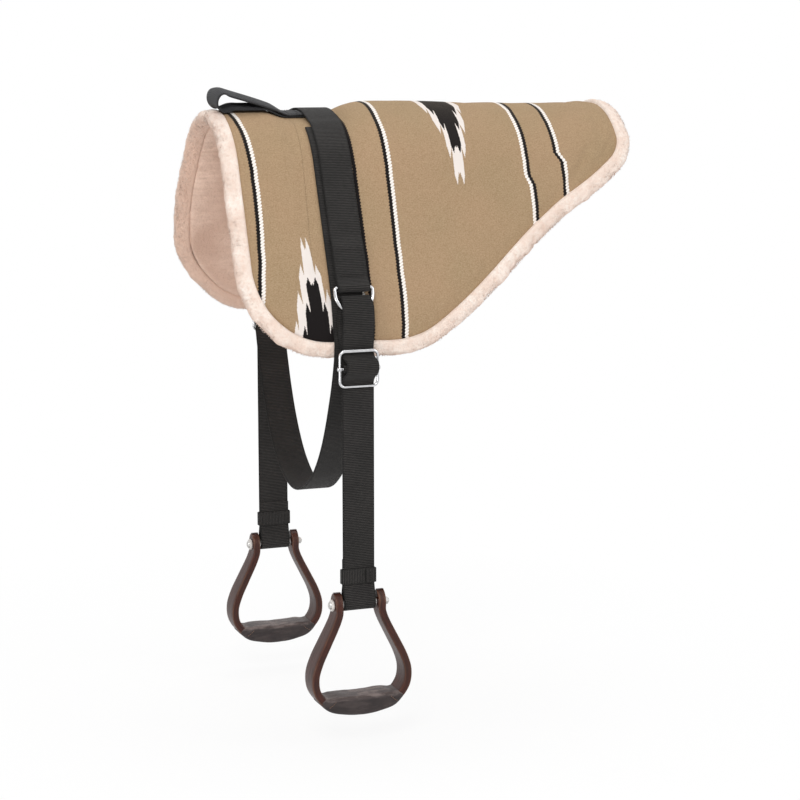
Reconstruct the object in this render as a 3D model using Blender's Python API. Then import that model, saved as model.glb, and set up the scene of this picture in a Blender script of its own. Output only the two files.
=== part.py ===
# Bareback pad with webbing rigging, a grab handle, a girth loop and a pair of stirrups.
# Metres, +Z up. The front of the pad is towards -X, the near side is -Y, the far side is +Y.
# The origin is on the spine, on the underside of the lining, below the middle of the rigging.

import math

import bmesh
import bpy

# Pad outline, laid flat: lengths along the spine and round the arch from the spine
front_reach = 0.175
rear_reach = 0.505
side_reach = 0.429
front_corner_radius = 0.139
lower_corner_radius = 0.180
rear_corner_radius = 0.070
slope_foot = 0.101
slope_angle = math.radians(36.6)
lower_bulge = 0.0137
lower_bulge_place = 0.170
lower_bulge_reach = 0.150
rear_bulge = 0.0093
rear_bulge_place = 0.440
rear_bulge_reach = 0.090

# Arch across the back: a round crest, straight sides, and a skirt that turns upright
crest_radius = 0.120
side_angle = math.radians(68.0)
side_run = 0.1725
skirt_radius = 0.340
rear_lift = 0.008
drape_shift = 0.014

# Layers of the pad and the fleece roll round its edge
lining_thickness = 0.007
core_thickness = 0.008
cover_thickness = 0.002
roll_width = 0.025
roll_height = 0.024
seat_crown = 0.0110
withers_crown = 0.003
edge_draw = 0.0012
strap_sink = 0.0055
seat_crown_start_share = 0.20
seat_crown_end_share = 0.85
roll_fullness_share = 0.8

# Clearances
seat_gap = 0.0003
soft_gap = 0.0005
swing_room = 0.0022
handle_room = 0.0012
cut_overrun = 0.010

# Webbing
webbing_width = 0.0508
webbing_thickness = 0.0026
girth_shift = 0.009
girth_end_reach = 0.065
girth_drop = 0.597
rigging_tail = 0.062

# Grab handle
handle_width = 0.0508
handle_middle = 0.002
handle_nose = 0.163
handle_depth = 0.023
handle_height = 0.0365
handle_lift = 0.0018
handle_turn = math.radians(195.0)
handle_bend = 0.075
handle_bend_height = 0.0122
handle_sewn_front = 0.050
handle_sewn_rear = 0.020

# D-ring
ring_inner_radius = 0.0270
ring_wire_radius = 0.00275
ring_leg = 0.008
ring_above_edge = 0.1025
ring_to_bend = 0.0789
ring_flat = 0.0008

# Slide buckle
buckle_width = 0.064
buckle_height = 0.058
buckle_wire_radius = 0.0020
buckle_top_radius = 0.0027
buckle_corner_radius = 0.008
buckle_below_bend = 0.0411
bar_radius = 0.0020
bar_eye_wall = 0.0018
bar_eye_height = 0.006

# Keeper
keeper_height = 0.0225
keeper_thickness = 0.0020
keeper_slack = 0.0006
keeper_above_bolt = 0.0430
tail_above_bolt = 0.0700

# Stirrup
bolt_drop = 0.7187
bolt_radius = 0.0040
bolt_hole_slack = 0.0003
bolt_head_radius = 0.0062
bolt_head_height = 0.0035
cup_radius = 0.0090
cup_thickness = 0.0040
nut_radius = 0.0058
nut_thickness = 0.0050
washer_radius = 0.0082
washer_thickness = 0.0012
sleeve_radius = 0.0070
stirrup_half_width = 0.0745
stirrup_depth = 0.160
stirrup_band = 0.0384
stirrup_thickness = 0.0115
stirrup_neck = 0.0345
stirrup_neck_drop = 0.012
stirrup_edge_round = 0.0020
tread_half = 0.056
tread_block_half = 0.050
tread_block_thickness = 0.008
tread_block_overhang = 0.0015
tread_leather = 0.0022
tread_edge_round = 0.0040

# Counts
rows_half = 14
arc_steps = 8
bow_steps = 14
curve_steps = 3
tail_steps = 4
across_steps = 4
corner_steps = 4
wire_sides = 10
rod_sides = 12
round_sides = 16
nut_sides = 6
crown_fade_rows = (3, 10)
sink_rows = (1, 2)
rigging_ramp_half_rows = (3, 4)
smooth_angle = math.radians(40.0)

# Sizes that follow from the ones above
pad_stack = lining_thickness + core_thickness + cover_thickness + 2.0 * seat_gap
inner_side = side_reach - roll_width
row_step = inner_side / rows_half
half_row = row_step / 2.0
ring_reach = side_reach - ring_above_edge
crest_run = crest_radius * side_angle
skirt_run = skirt_radius * (math.pi / 2.0 - side_angle)
half_webbing = webbing_width / 2.0
half_thick = webbing_thickness / 2.0
layer_step = webbing_thickness + soft_gap

# Hand-chosen shares
front_column_shares = (1.0, 0.93, 0.74, 0.43, 0.17)
lower_arc_shares = (0.5, 1.0)
slope_column_shares = (0.20, 0.42, 0.64, 0.84)
rear_arc_shares = (0.0, 0.66)
girth_half_shares = (1.0, 0.985, 0.93, 0.86, 0.78, 0.68, 0.565, 0.42, 0.22, 0.0)
girth_drop_shares = (0.0, 0.075, 0.225, 0.365, 0.505, 0.645, 0.765, 0.875, 0.965, 1.0)
bow_half_shares = (0.537, 0.738, 0.913, 1.0, 0.960, 0.752, 0.403, 0.0)
bow_drop_shares = (0.175, 0.363, 0.531, 0.675, 0.819, 0.938, 0.985, 1.0)
ear_turn_shares = (0.89, 0.71, 0.51, 0.29)
ring_corner_share = 1.3
mitre_limit_share = 0.5
bar_end_share = 1.6
bar_leave_share = 0.8
back_bend_share = 0.62
front_bend_shares = (0.78, 0.32, -0.20, -0.72)
sleeve_leave_share = 0.86
corner_depth_share = 0.5
corner_thick_share = 0.45
block_taper_share = 0.6
eye_waist_share = 0.6
turned_edge_share = 0.2
bolt_head_shares = ((0.92, 0.45), (0.62, 0.82))
bolt_tip_start_share = 0.3
bolt_tip_end_share = 0.5
bolt_tip_width_share = 0.7


def remove_all():
    for item in list(bpy.data.objects):
        bpy.data.objects.remove(item, do_unlink=True)


def make_material(name, colour, roughness, metallic):
    material = bpy.data.materials.new(name)
    material.use_nodes = True
    shader = material.node_tree.nodes["Principled BSDF"]
    shader.inputs["Base Color"].default_value = (*colour, 1.0)
    shader.inputs["Roughness"].default_value = roughness
    shader.inputs["Metallic"].default_value = metallic
    return material


def make_pivot(name, place):
    pivot = bpy.data.objects.new(name, None)
    pivot.location = place
    bpy.context.scene.collection.objects.link(pivot)
    return pivot


def finish_mesh(name, form, material, pivot=None, smooth=False):
    bmesh.ops.recalc_face_normals(form, faces=form.faces[:])
    if pivot:
        for vertex in form.verts:
            vertex.co -= pivot.location
    mesh = bpy.data.meshes.new(name)
    form.to_mesh(mesh)
    form.free()
    mesh.materials.append(material)
    if smooth:
        mesh.shade_smooth()
        mesh.set_sharp_from_angle(angle=smooth_angle)
    item = bpy.data.objects.new(name, mesh)
    bpy.context.scene.collection.objects.link(item)
    if pivot:
        item.parent = pivot
    return item


# Sections are joined one after another; closed runs meet their own start, open runs get end caps.
def loft(sections, closed=False):
    form = bmesh.new()
    rings = [[form.verts.new(point) for point in section] for section in sections]
    count = len(rings[0])
    spans = len(rings) if closed else len(rings) - 1
    for index in range(spans):
        first = rings[index]
        second = rings[(index + 1) % len(rings)]
        for corner in range(count):
            after = (corner + 1) % count
            form.faces.new((first[corner], first[after], second[after], second[corner]))
    if not closed:
        form.faces.new(rings[0])
        form.faces.new(rings[-1])
    return form


# A ring-shaped section turned about the X axis through the given centre.
def turn_about_x(profile, centre, sides=round_sides):
    sections = []
    for step in range(sides):
        angle = 2.0 * math.pi * step / sides
        sections.append([
            (along, centre[0] + radius * math.cos(angle), centre[1] + radius * math.sin(angle))
            for along, radius in profile
        ])
    return loft(sections, closed=True)


# A solid turned about the X axis, whose profile starts and ends on the axis.
def turn_solid(profile, centre, sides=round_sides):
    form = bmesh.new()
    rings = []
    for along, radius in profile:
        if radius == 0:
            rings.append([form.verts.new((along, centre[0], centre[1]))])
            continue
        rings.append([
            form.verts.new((
                along,
                centre[0] + radius * math.cos(2.0 * math.pi * step / sides),
                centre[1] + radius * math.sin(2.0 * math.pi * step / sides),
            ))
            for step in range(sides)
        ])
    for first, second in zip(rings, rings[1:]):
        for step in range(sides):
            after = (step + 1) % sides
            corners = [first[step % len(first)], first[after % len(first)]]
            corners += [second[after % len(second)], second[step % len(second)]]
            distinct = []
            for corner in corners:
                if corner not in distinct:
                    distinct.append(corner)
            form.faces.new(distinct)
    return form


# The arch: a place round it, counted from the spine, and a height above the face of the cover.
def arch_point(reach, height):
    distance = abs(reach)
    if distance <= crest_run:
        heading = distance / crest_radius
        across = crest_radius * math.sin(heading)
        drop = crest_radius * (1.0 - math.cos(heading))
    else:
        heading = side_angle
        across = crest_radius * math.sin(side_angle)
        drop = crest_radius * (1.0 - math.cos(side_angle))
        straight = min(distance - crest_run, side_run)
        across += straight * math.cos(side_angle)
        drop += straight * math.sin(side_angle)
        turned = min(max(distance - crest_run - side_run, 0), skirt_run)
        heading += turned / skirt_radius
        across += skirt_radius * (math.sin(heading) - math.sin(side_angle))
        drop += skirt_radius * (math.cos(side_angle) - math.cos(heading))
        drop += max(distance - crest_run - side_run - skirt_run, 0)
    across += height * math.sin(heading)
    level = pad_stack - drop + height * math.cos(heading)
    return math.copysign(across, reach), level


# The spine rises a little towards the rear.
def spine_lift(along):
    share = min(max(along / rear_reach, 0), 1.0)
    return rear_lift * share * share * (3.0 - 2.0 * share)


# The pad lies a little further down on the near side, so its middle is beside the arch's crest.
def drape_point(reach, height):
    return arch_point(reach - drape_shift, height)


def pad_point(along, reach, height):
    across, level = drape_point(reach, height)
    return along, across, level + spine_lift(along)


# Corner centres of the flat outline, shared by the roll and by the layers inside it
slope_sine = math.sin(slope_angle)
slope_cosine = math.cos(slope_angle)
slope_offset = slope_sine * slope_foot + slope_cosine * side_reach
front_centre = (front_corner_radius - front_reach, side_reach - front_corner_radius)
lower_centre = (
    slope_foot - lower_corner_radius * math.tan(slope_angle / 2.0),
    side_reach - lower_corner_radius,
)
rear_centre_x = rear_reach - rear_corner_radius
rear_centre = (
    rear_centre_x,
    (slope_offset - rear_corner_radius - slope_sine * rear_centre_x) / slope_cosine,
)


# A smooth swelling of the outline, full at its place and gone a reach away from it.
def swelling(along, place, reach, size):
    share = (along - place) / reach
    return size * max(1.0 - share * share, 0) ** 2


# The edge of the layers at a column: its reach from the middle and its outward direction.
def edge_at(along):
    reach, outward = plain_edge_at(along)
    reach += swelling(along, lower_bulge_place, lower_bulge_reach, lower_bulge)
    reach += swelling(along, rear_bulge_place, rear_bulge_reach, rear_bulge)
    return reach, outward


def plain_edge_at(along):
    front_radius = front_corner_radius - roll_width
    lower_radius = lower_corner_radius - roll_width
    rear_radius = rear_corner_radius - roll_width
    if along < front_centre[0]:
        offset = along - front_centre[0]
        rise = math.sqrt(max(front_radius ** 2 - offset ** 2, 0))
        return front_centre[1] + rise, (offset / front_radius, rise / front_radius)
    if along <= lower_centre[0]:
        return inner_side, (0.0, 1.0)
    if along < lower_centre[0] + lower_radius * slope_sine:
        offset = along - lower_centre[0]
        rise = math.sqrt(lower_radius ** 2 - offset ** 2)
        return lower_centre[1] + rise, (offset / lower_radius, rise / lower_radius)
    if along <= rear_centre[0] + rear_radius * slope_sine:
        reach = (slope_offset - roll_width - slope_sine * along) / slope_cosine
        return reach, (slope_sine, slope_cosine)
    offset = along - rear_centre[0]
    rise = math.sqrt(max(rear_radius ** 2 - offset ** 2, 0))
    return rear_centre[1] + rise, (offset / rear_radius, rise / rear_radius)


def pad_columns():
    front_radius = front_corner_radius - roll_width
    lower_radius = lower_corner_radius - roll_width
    rear_radius = rear_corner_radius - roll_width
    columns = [front_centre[0] - front_radius * share for share in front_column_shares]
    columns += [front_centre[0], lower_centre[0]]
    columns += [lower_centre[0] + lower_radius * slope_sine * share for share in lower_arc_shares]
    start = columns[-1]
    stop = rear_centre[0] + rear_radius * slope_sine
    columns += [start + (stop - start) * share for share in slope_column_shares]
    columns += [stop + (rear_centre[0] + rear_radius - stop) * share for share in rear_arc_shares]
    columns.append(rear_centre[0] + rear_radius)
    return columns


columns = pad_columns()
sink_ramp_start = columns[3]
sink_start = columns[4]
sink_end = columns[6]
sink_ramp_end = columns[7]


def ramp(value, low, high):
    return min(max((value - low) / (high - low), 0), 1.0)


# How far the cover stands above its plain arch: sunk under the sewn strap ends, full behind them.
def cover_rise(along, reach):
    crown_start = sink_end
    crown_full = crown_start + (rear_reach - crown_start) * seat_crown_start_share
    crown_gone = rear_reach * seat_crown_end_share
    seat = seat_crown * ramp(along, crown_start, crown_full) * (1.0 - ramp(along, crown_full, crown_gone))
    withers = withers_crown * (1.0 - ramp(along, sink_ramp_start, sink_start))
    rows = reach / row_step
    fade = 1.0 - ramp(abs(rows), *crown_fade_rows)
    along_sink = ramp(along, sink_ramp_start, sink_start) * (1.0 - ramp(along, sink_end, sink_ramp_end))
    across_sink = 1.0 - ramp(abs(rows), *sink_rows)
    return (seat + withers) * fade - strap_sink * along_sink * across_sink


# One layer of the pad: a flat grid, extruded once, then laid round the arch.
def make_layer(name, material, bottom, top, follows_crown):
    row_count = 2 * rows_half
    column_count = len(columns) - 1
    form = bmesh.new()
    bmesh.ops.create_grid(form, x_segments=column_count, y_segments=row_count, size=1.0)
    raised = bmesh.ops.extrude_face_region(form, geom=form.faces[:], use_keep_orig=True)
    upper = {item for item in raised["geom"] if isinstance(item, bmesh.types.BMVert)}
    for vertex in form.verts:
        column = round((vertex.co.x + 1.0) / 2.0 * column_count)
        row = round((vertex.co.y + 1.0) / 2.0 * row_count) - rows_half
        along = columns[column]
        reach = edge_at(along)[0] * row / rows_half
        rise = cover_rise(along, reach)
        if column in (0, column_count) or abs(row) == rows_half:
            rise -= edge_draw
        on_top = vertex in upper
        height = top if on_top else bottom
        if follows_crown[1 if on_top else 0]:
            height += rise
        vertex.co = pad_point(along, reach, height)
    return finish_mesh(name, form, material, smooth=True)


# Half-round section of the roll: distance out from the layers, and height across them.
def roll_section():
    section = []
    for step in range(arc_steps + 1):
        angle = math.pi * (step / arc_steps - 0.5)
        away = soft_gap + (roll_width - soft_gap) * math.cos(angle) ** roll_fullness_share
        section.append((away, roll_height / 2.0 * math.sin(angle) - pad_stack / 2.0))
    core_bottom = lining_thickness + seat_gap - pad_stack
    for height in (0.0, -cover_thickness, core_bottom + core_thickness / 2.0, core_bottom, -pad_stack):
        section.append((soft_gap, height))
    return section


# The fleece roll: one closed run round the edge, flat against the layers and round outside.
def make_roll(material):
    stations = []
    for row in range(-rows_half, rows_half):
        along = columns[0]
        stations.append((along, edge_at(along)[0] * row / rows_half, (-1.0, 0.0)))
    for along in columns:
        reach, outward = edge_at(along)
        stations.append((along, reach, outward))
    for row in range(rows_half - 1, -rows_half, -1):
        along = columns[-1]
        stations.append((along, edge_at(along)[0] * row / rows_half, (1.0, 0.0)))
    for along in reversed(columns[1:]):
        reach, outward = edge_at(along)
        stations.append((along, -reach, (outward[0], -outward[1])))
    sections = []
    for along, reach, outward in stations:
        sections.append([
            pad_point(along + outward[0] * away, reach + outward[1] * away, height)
            for away, height in roll_section()
        ])
    return finish_mesh("edge_roll", loft(sections, closed=True), material, smooth=True)


# Moves an open path sideways by the same distance everywhere, mitred at its bends.
def shift_path(path, distance):
    shifted = []
    last = len(path) - 1
    for index, (first, second) in enumerate(path):
        before = path[max(index - 1, 0)]
        after = path[min(index + 1, last)]
        into = (first - before[0], second - before[1]) if index > 0 else None
        out = (after[0] - first, after[1] - second) if index < last else None
        directions = []
        for step in (into, out):
            if step:
                size = math.hypot(*step)
                directions.append((step[0] / size, step[1] / size))
        mean = (sum(d[0] for d in directions), sum(d[1] for d in directions))
        size = math.hypot(*mean)
        mean = (mean[0] / size, mean[1] / size)
        facing = mean[0] * directions[0][0] + mean[1] * directions[0][1]
        stretch = 1.0 / max(facing, mitre_limit_share)
        shifted.append((first - mean[1] * distance * stretch, second + mean[0] * distance * stretch))
    return shifted


# Flat webbing of full width whose path is given as (outward distance, level) on one side.
def make_strap_form(path, side, middle=0.0):
    low = middle - half_webbing
    high = middle + half_webbing
    first_face = shift_path(path, half_thick)
    second_face = shift_path(path, -half_thick)
    sections = []
    for first, second in zip(first_face, second_face):
        sections.append([
            (low, side * first[0], first[1]),
            (high, side * first[0], first[1]),
            (high, side * second[0], second[1]),
            (low, side * second[0], second[1]),
        ])
    return loft(sections)


def arc_points(centre, radius, start, stop, steps):
    points = []
    for step in range(steps + 1):
        angle = start + (stop - start) * step / steps
        points.append((centre[0] + radius * math.cos(angle), centre[1] + radius * math.sin(angle)))
    return points


# A place on one side of the pad, as distance outwards and level: side is -1 near and 1 far.
def side_point(side, reach, height):
    across, level = drape_point(side * reach, height)
    return side * across, level


def roll_outermost(side):
    return max(side_point(side, inner_side + away, height)[0] for away, height in roll_section())


# The girth loop hangs past the outermost point of the roll on its side.
def girth_out(side):
    return roll_outermost(side) + seat_gap + half_thick


# Both stirrup straps hang equally far out, past the girth loop on the near side, where it is widest.
roll_top = (roll_height - pad_stack) / 2.0
strap_out = max(girth_out(-1.0), girth_out(1.0)) + half_thick + swing_room + half_thick
strap_front = strap_out + layer_step
wrap_radius = ring_wire_radius + seat_gap + half_thick
ring_stack = 2.0 * webbing_thickness + 3.0 * seat_gap + ring_wire_radius + ring_flat


# The ring is tilted so that the strap through it turns upright at strap_out.
def ring_tilt(side):
    gap = strap_out - side_point(side, ring_reach, ring_stack)[0]
    return math.acos(gap / math.hypot(ring_to_bend, wrap_radius)) - math.atan2(wrap_radius, ring_to_bend)


# A point beside the ring: distances down the ring's plane from its bar, and out of that plane.
def ring_point(side, down, out):
    ring_out, ring_level = side_point(side, ring_reach, ring_stack)
    tilt = ring_tilt(side)
    return (
        ring_out + down * math.cos(tilt) + out * math.sin(tilt),
        ring_level - down * math.sin(tilt) + out * math.cos(tilt),
    )


# The rigging strap runs over the crest from ring to ring and folds back under each ring's bar.
def rigging_half(side):
    half = []
    steps = int((ring_reach - 2.0 * wrap_radius) / half_row)
    tail_start = ring_reach - rigging_tail
    over_handle = handle_room + half_thick
    over_girth = seat_gap + layer_step + half_thick
    for step in range(1, steps + 1):
        reach = half_row * step
        height = over_handle + (over_girth - over_handle) * ramp(step, *rigging_ramp_half_rows)
        height += layer_step * ramp(reach, tail_start - row_step, tail_start)
        half.append(side_point(side, reach, height))
    for step in range(-2, arc_steps):
        angle = math.pi * step / arc_steps
        half.append(ring_point(side, wrap_radius * math.sin(angle), wrap_radius * math.cos(angle)))
    half.append(ring_point(side, 0.0, -wrap_radius))
    tail_run = rigging_tail - 2.0 * wrap_radius
    for step in range(tail_steps):
        reach = ring_reach - 2.0 * wrap_radius - tail_run * step / (tail_steps - 1)
        half.append(side_point(side, reach, over_girth))
    return half


def make_rigging(material):
    path = [(-out, level) for out, level in reversed(rigging_half(-1.0))]
    path.append(drape_point(0.0, handle_room + half_thick))
    path += rigging_half(1.0)
    return finish_mesh("rigging_strap", make_strap_form(path, 1.0), material)


# The girth loop: sewn under the rigging, down over the roll, and in one bight from side to side.
def girth_half(side):
    half = [side_point(side, girth_end_reach, seat_gap + half_thick)]
    step = int(girth_end_reach / half_row) + 1
    while half_row * step < inner_side - half_row:
        half.append(side_point(side, half_row * step, seat_gap + half_thick))
        step += 1
    half.append(side_point(side, inner_side - soft_gap, roll_top + seat_gap + half_thick))
    start = side_point(side, inner_side + roll_width / 2.0, roll_top)[1]
    for out_share, drop_share in zip(girth_half_shares, girth_drop_shares):
        half.append((girth_out(side) * out_share, start - (girth_drop + start - pad_stack) * drop_share))
    return half


def make_girth(material):
    path = [(-out, level) for out, level in girth_half(-1.0)]
    path += list(reversed(girth_half(1.0)))[1:]
    return finish_mesh("girth_loop", make_strap_form(path, 1.0, -girth_shift), material)


# Grab handle: one length of webbing, sewn flat, turned over at the front and brought back on itself.
def make_handle(material):
    lower = []
    for along in (handle_sewn_rear, 0.0, sink_start, sink_ramp_start, columns[2]):
        lower.append((along, cover_rise(along, 0.0) + soft_gap + half_thick))
    bottom = withers_crown + handle_lift + half_thick
    half_rise = (handle_height - half_thick - bottom) / 2.0
    centre = (handle_depth / 2.0 + half_thick - handle_nose, bottom + half_rise)
    turn = []
    for step in range(arc_steps + 1):
        angle = -math.pi / 2.0 - handle_turn * step / arc_steps
        turn.append((
            centre[0] + handle_depth / 2.0 * math.cos(angle),
            centre[1] + half_rise * math.sin(angle),
        ))
    landing = -strap_sink + soft_gap + webbing_thickness + seat_gap + half_thick
    upper = [(-handle_bend, handle_bend_height)]
    for along in (-handle_sewn_front, 0.0, handle_sewn_rear):
        upper.append((along, landing))
    path = lower + turn + upper
    first_face = shift_path(path, half_thick)
    second_face = shift_path(path, -half_thick)
    reaches = [
        handle_middle - handle_width / 2.0 + handle_width * step / across_steps
        for step in range(across_steps + 1)
    ]
    sections = []
    for first, second in zip(first_face, second_face):
        section = [pad_point(first[0], reach, first[1]) for reach in reaches]
        section += [pad_point(second[0], reach, second[1]) for reach in reversed(reaches)]
        sections.append(section)
    return finish_mesh("grab_handle", loft(sections), material)


# Sweeps a round wire along a path of places; the two ends of a closed path meet.
def make_wire_form(places, radii, normal):
    sections = []
    count = len(places)
    for index, place in enumerate(places):
        before = places[index - 1]
        after = places[(index + 1) % count]
        along = [b - a for a, b in zip(before, after)]
        size = math.sqrt(sum(value * value for value in along))
        along = [value / size for value in along]
        aside = (
            along[1] * normal[2] - along[2] * normal[1],
            along[2] * normal[0] - along[0] * normal[2],
            along[0] * normal[1] - along[1] * normal[0],
        )
        section = []
        for step in range(wire_sides):
            angle = 2.0 * math.pi * (step + 0.5) / wire_sides
            section.append(tuple(
                place[axis] + radii[index] * (aside[axis] * math.cos(angle) + normal[axis] * math.sin(angle))
                for axis in range(3)
            ))
        sections.append(section)
    return loft(sections, closed=True)


def make_ring(side, name, material, pivot):
    centre_radius = ring_inner_radius + ring_wire_radius
    corner = ring_wire_radius * ring_corner_share
    corner_cut = corner * (1.0 - math.sqrt(0.5))
    flat = [(-centre_radius + corner, 0.0), (0.0, 0.0), (centre_radius - corner, 0.0)]
    flat.append((centre_radius - corner_cut, corner_cut))
    flat.append((centre_radius, corner))
    for step in range(bow_steps + 1):
        angle = math.pi * step / bow_steps
        flat.append((centre_radius * math.cos(angle), ring_leg + centre_radius * math.sin(angle)))
    flat.append((-centre_radius, corner))
    flat.append((-centre_radius + corner_cut, corner_cut))
    places = []
    for along, down in flat:
        out, level = ring_point(side, down, 0.0)
        places.append((along, side * out, level))
    normal = (0.0, side * math.sin(ring_tilt(side)), math.cos(ring_tilt(side)))
    radii = [ring_wire_radius] * len(places)
    return finish_mesh(name, make_wire_form(places, radii, normal), material, pivot, smooth=True)


# Where the stirrup strap folds over the ring's bow, and the places of the frame, the bolt and its loop
strap_fold_down = ring_leg + math.sqrt(ring_inner_radius ** 2 - half_webbing ** 2) + ring_wire_radius
frame_out = strap_front + half_thick + soft_gap + buckle_top_radius
bar_wrap = bar_radius + seat_gap + half_thick
front_over_bar = frame_out + bar_wrap + layer_step
loop_middle = (strap_out + strap_front) / 2.0
loop_radius = sleeve_radius + seat_gap + half_thick
bolt_level = -bolt_drop
half_frame = buckle_height / 2.0


def bend_level(side):
    return ring_point(side, ring_to_bend, -wrap_radius)[1]


def buckle_level(side):
    return bend_level(side) - buckle_below_bend


# Stirrup strap: from the buckle's bar up, over the ring, down through the buckle and round the sleeve.
def strap_path(side):
    bar_level = buckle_level(side)
    path = [(frame_out + bar_wrap, bar_level + bar_wrap * bar_end_share)]
    path += arc_points((frame_out, bar_level), bar_wrap, 0.0, -math.pi, arc_steps)
    path.append((frame_out - bar_wrap, bar_level + bar_wrap * bar_leave_share))
    path.append((strap_out, bar_level + half_frame * back_bend_share))
    path.append((strap_out, bend_level(side)))
    path.append(ring_point(side, strap_fold_down, -wrap_radius))
    for step in range(1, arc_steps):
        angle = math.pi * step / arc_steps
        path.append(ring_point(
            side,
            strap_fold_down - wrap_radius * math.sin(angle),
            -wrap_radius * math.cos(angle),
        ))
    bow_bottom = ring_leg + ring_inner_radius + 2.0 * ring_wire_radius
    path.append(ring_point(side, strap_fold_down, wrap_radius))
    path.append(ring_point(side, bow_bottom + seat_gap, wrap_radius))
    path.append(ring_point(side, ring_to_bend - layer_step, layer_step - wrap_radius))
    path.append((strap_front, bend_level(side) - layer_step))
    front_outs = (strap_front, front_over_bar, front_over_bar, strap_front)
    for out, share in zip(front_outs, front_bend_shares):
        path.append((out, bar_level + half_frame * share))
    spread = keeper_above_bolt - keeper_height / 2.0
    path.append((strap_front, bolt_level + spread))
    path.append((loop_middle + loop_radius * sleeve_leave_share, bolt_level + loop_radius))
    path += arc_points((loop_middle, bolt_level), loop_radius, 0.0, -math.pi, arc_steps + 2)
    path.append((loop_middle - loop_radius * sleeve_leave_share, bolt_level + loop_radius))
    path.append((strap_out, bolt_level + spread))
    path.append((strap_out, bolt_level + tail_above_bolt))
    return path


# The keeper: a short band round both layers of the strap, a slack away from them all round.
def make_keeper(side, name, material, pivot):
    half_wide = half_webbing + keeper_slack
    low = strap_out - half_thick - keeper_slack
    high = strap_front + half_thick + keeper_slack
    walls = []
    for sign_x, sign_y, edge in ((1, -1, low), (1, 1, high), (-1, 1, high), (-1, -1, low)):
        flat = (
            (sign_x * (half_wide - keeper_slack), edge),
            (sign_x * (half_wide - keeper_slack), edge + sign_y * keeper_thickness),
        )
        upright = (
            (sign_x * half_wide, edge - sign_y * keeper_slack),
            (sign_x * (half_wide + keeper_thickness), edge - sign_y * keeper_slack),
        )
        walls += [flat, upright] if sign_x * sign_y < 0 else [upright, flat]
    level = bolt_level + keeper_above_bolt
    sections = []
    for inner, outer in walls:
        section = []
        for place, rise in ((inner, -1.0), (outer, -1.0), (outer, 1.0), (inner, 1.0)):
            section.append((place[0], side * place[1], level + rise * keeper_height / 2.0))
        sections.append(section)
    return finish_mesh(name, loft(sections, closed=True), material, pivot)


def make_buckle_frame(side, name, material, pivot):
    half_wide = buckle_width / 2.0 - buckle_wire_radius
    top = half_frame - buckle_top_radius
    bottom = -half_frame + buckle_wire_radius
    places = []
    radii = []
    for corner_x, corner_z, start, thick in (
        (half_wide, top, 0.0, buckle_top_radius),
        (-half_wide, top, math.pi / 2.0, buckle_top_radius),
        (-half_wide, bottom, math.pi, buckle_wire_radius),
        (half_wide, bottom, math.pi * 1.5, buckle_wire_radius),
    ):
        centre_x = corner_x - math.copysign(buckle_corner_radius, corner_x)
        centre_z = corner_z - math.copysign(buckle_corner_radius, corner_z)
        for step in range(corner_steps + 1):
            angle = start + math.pi / 2.0 * step / corner_steps
            places.append((
                centre_x + buckle_corner_radius * math.cos(angle),
                side * frame_out,
                buckle_level(side) + centre_z + buckle_corner_radius * math.sin(angle),
            ))
            height_share = abs(math.sin(angle)) if thick == buckle_top_radius else 0.0
            radii.append(buckle_wire_radius + (thick - buckle_wire_radius) * height_share)
    normal = (0.0, side, 0.0)
    return finish_mesh(name, make_wire_form(places, radii, normal), material, pivot, smooth=True)


# The buckle's middle bar: a rod whose ends are eyes round the frame's side wires.
def make_buckle_bar(side, name, material, pivot):
    eye_inner = buckle_wire_radius + seat_gap
    eye_outer = eye_inner + bar_eye_wall
    eye_centre = buckle_width / 2.0 - buckle_wire_radius
    rod_end = eye_centre - eye_inner - bar_eye_wall / 2.0
    rod = turn_solid(
        ((-rod_end, 0), (-rod_end, bar_radius), (rod_end, bar_radius), (rod_end, 0)),
        (side * frame_out, buckle_level(side)),
        rod_sides,
    )
    item = finish_mesh(name, rod, material, pivot, smooth=True)
    for sign in (-1.0, 1.0):
        sections = []
        for step in range(rod_sides):
            angle = 2.0 * math.pi * step / rod_sides
            section = []
            for radius, rise in (
                (eye_inner, -1.0), (eye_outer, -eye_waist_share), (eye_outer, eye_waist_share), (eye_inner, 1.0),
            ):
                section.append((
                    sign * eye_centre + radius * math.cos(angle),
                    side * frame_out + radius * math.sin(angle),
                    buckle_level(side) + rise * bar_eye_height / 2.0,
                ))
            sections.append(section)
        eye_name = name + ("_front_eye_guide" if sign < 0 else "_rear_eye_guide")
        eye = finish_mesh(eye_name, loft(sections, closed=True), material, pivot)
        hide_guide(eye)
        join_solids(item, eye, "UNION")
    return item


def hide_guide(item):
    item.hide_render = True
    item.display_type = "WIRE"


def join_solids(item, other, operation):
    modifier = item.modifiers.new(operation.lower(), "BOOLEAN")
    modifier.operation = operation
    modifier.solver = "EXACT"
    modifier.object = other


# Smooth curve through hand-chosen places, several steps to each stretch.
def smooth_path(points, steps):
    result = []
    last = len(points) - 1
    for index in range(last):
        before = points[max(index - 1, 0)]
        start = points[index]
        stop = points[index + 1]
        after = points[min(index + 2, last)]
        for step in range(steps):
            t = step / steps
            place = []
            for axis in range(2):
                a = 2.0 * start[axis]
                b = stop[axis] - before[axis]
                c = 2.0 * before[axis] - 5.0 * start[axis] + 4.0 * stop[axis] - after[axis]
                d = 3.0 * start[axis] - before[axis] - 3.0 * stop[axis] + after[axis]
                place.append(0.5 * (a + b * t + c * t * t + d * t ** 3))
            result.append(tuple(place))
    result.append(points[-1])
    return result


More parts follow.
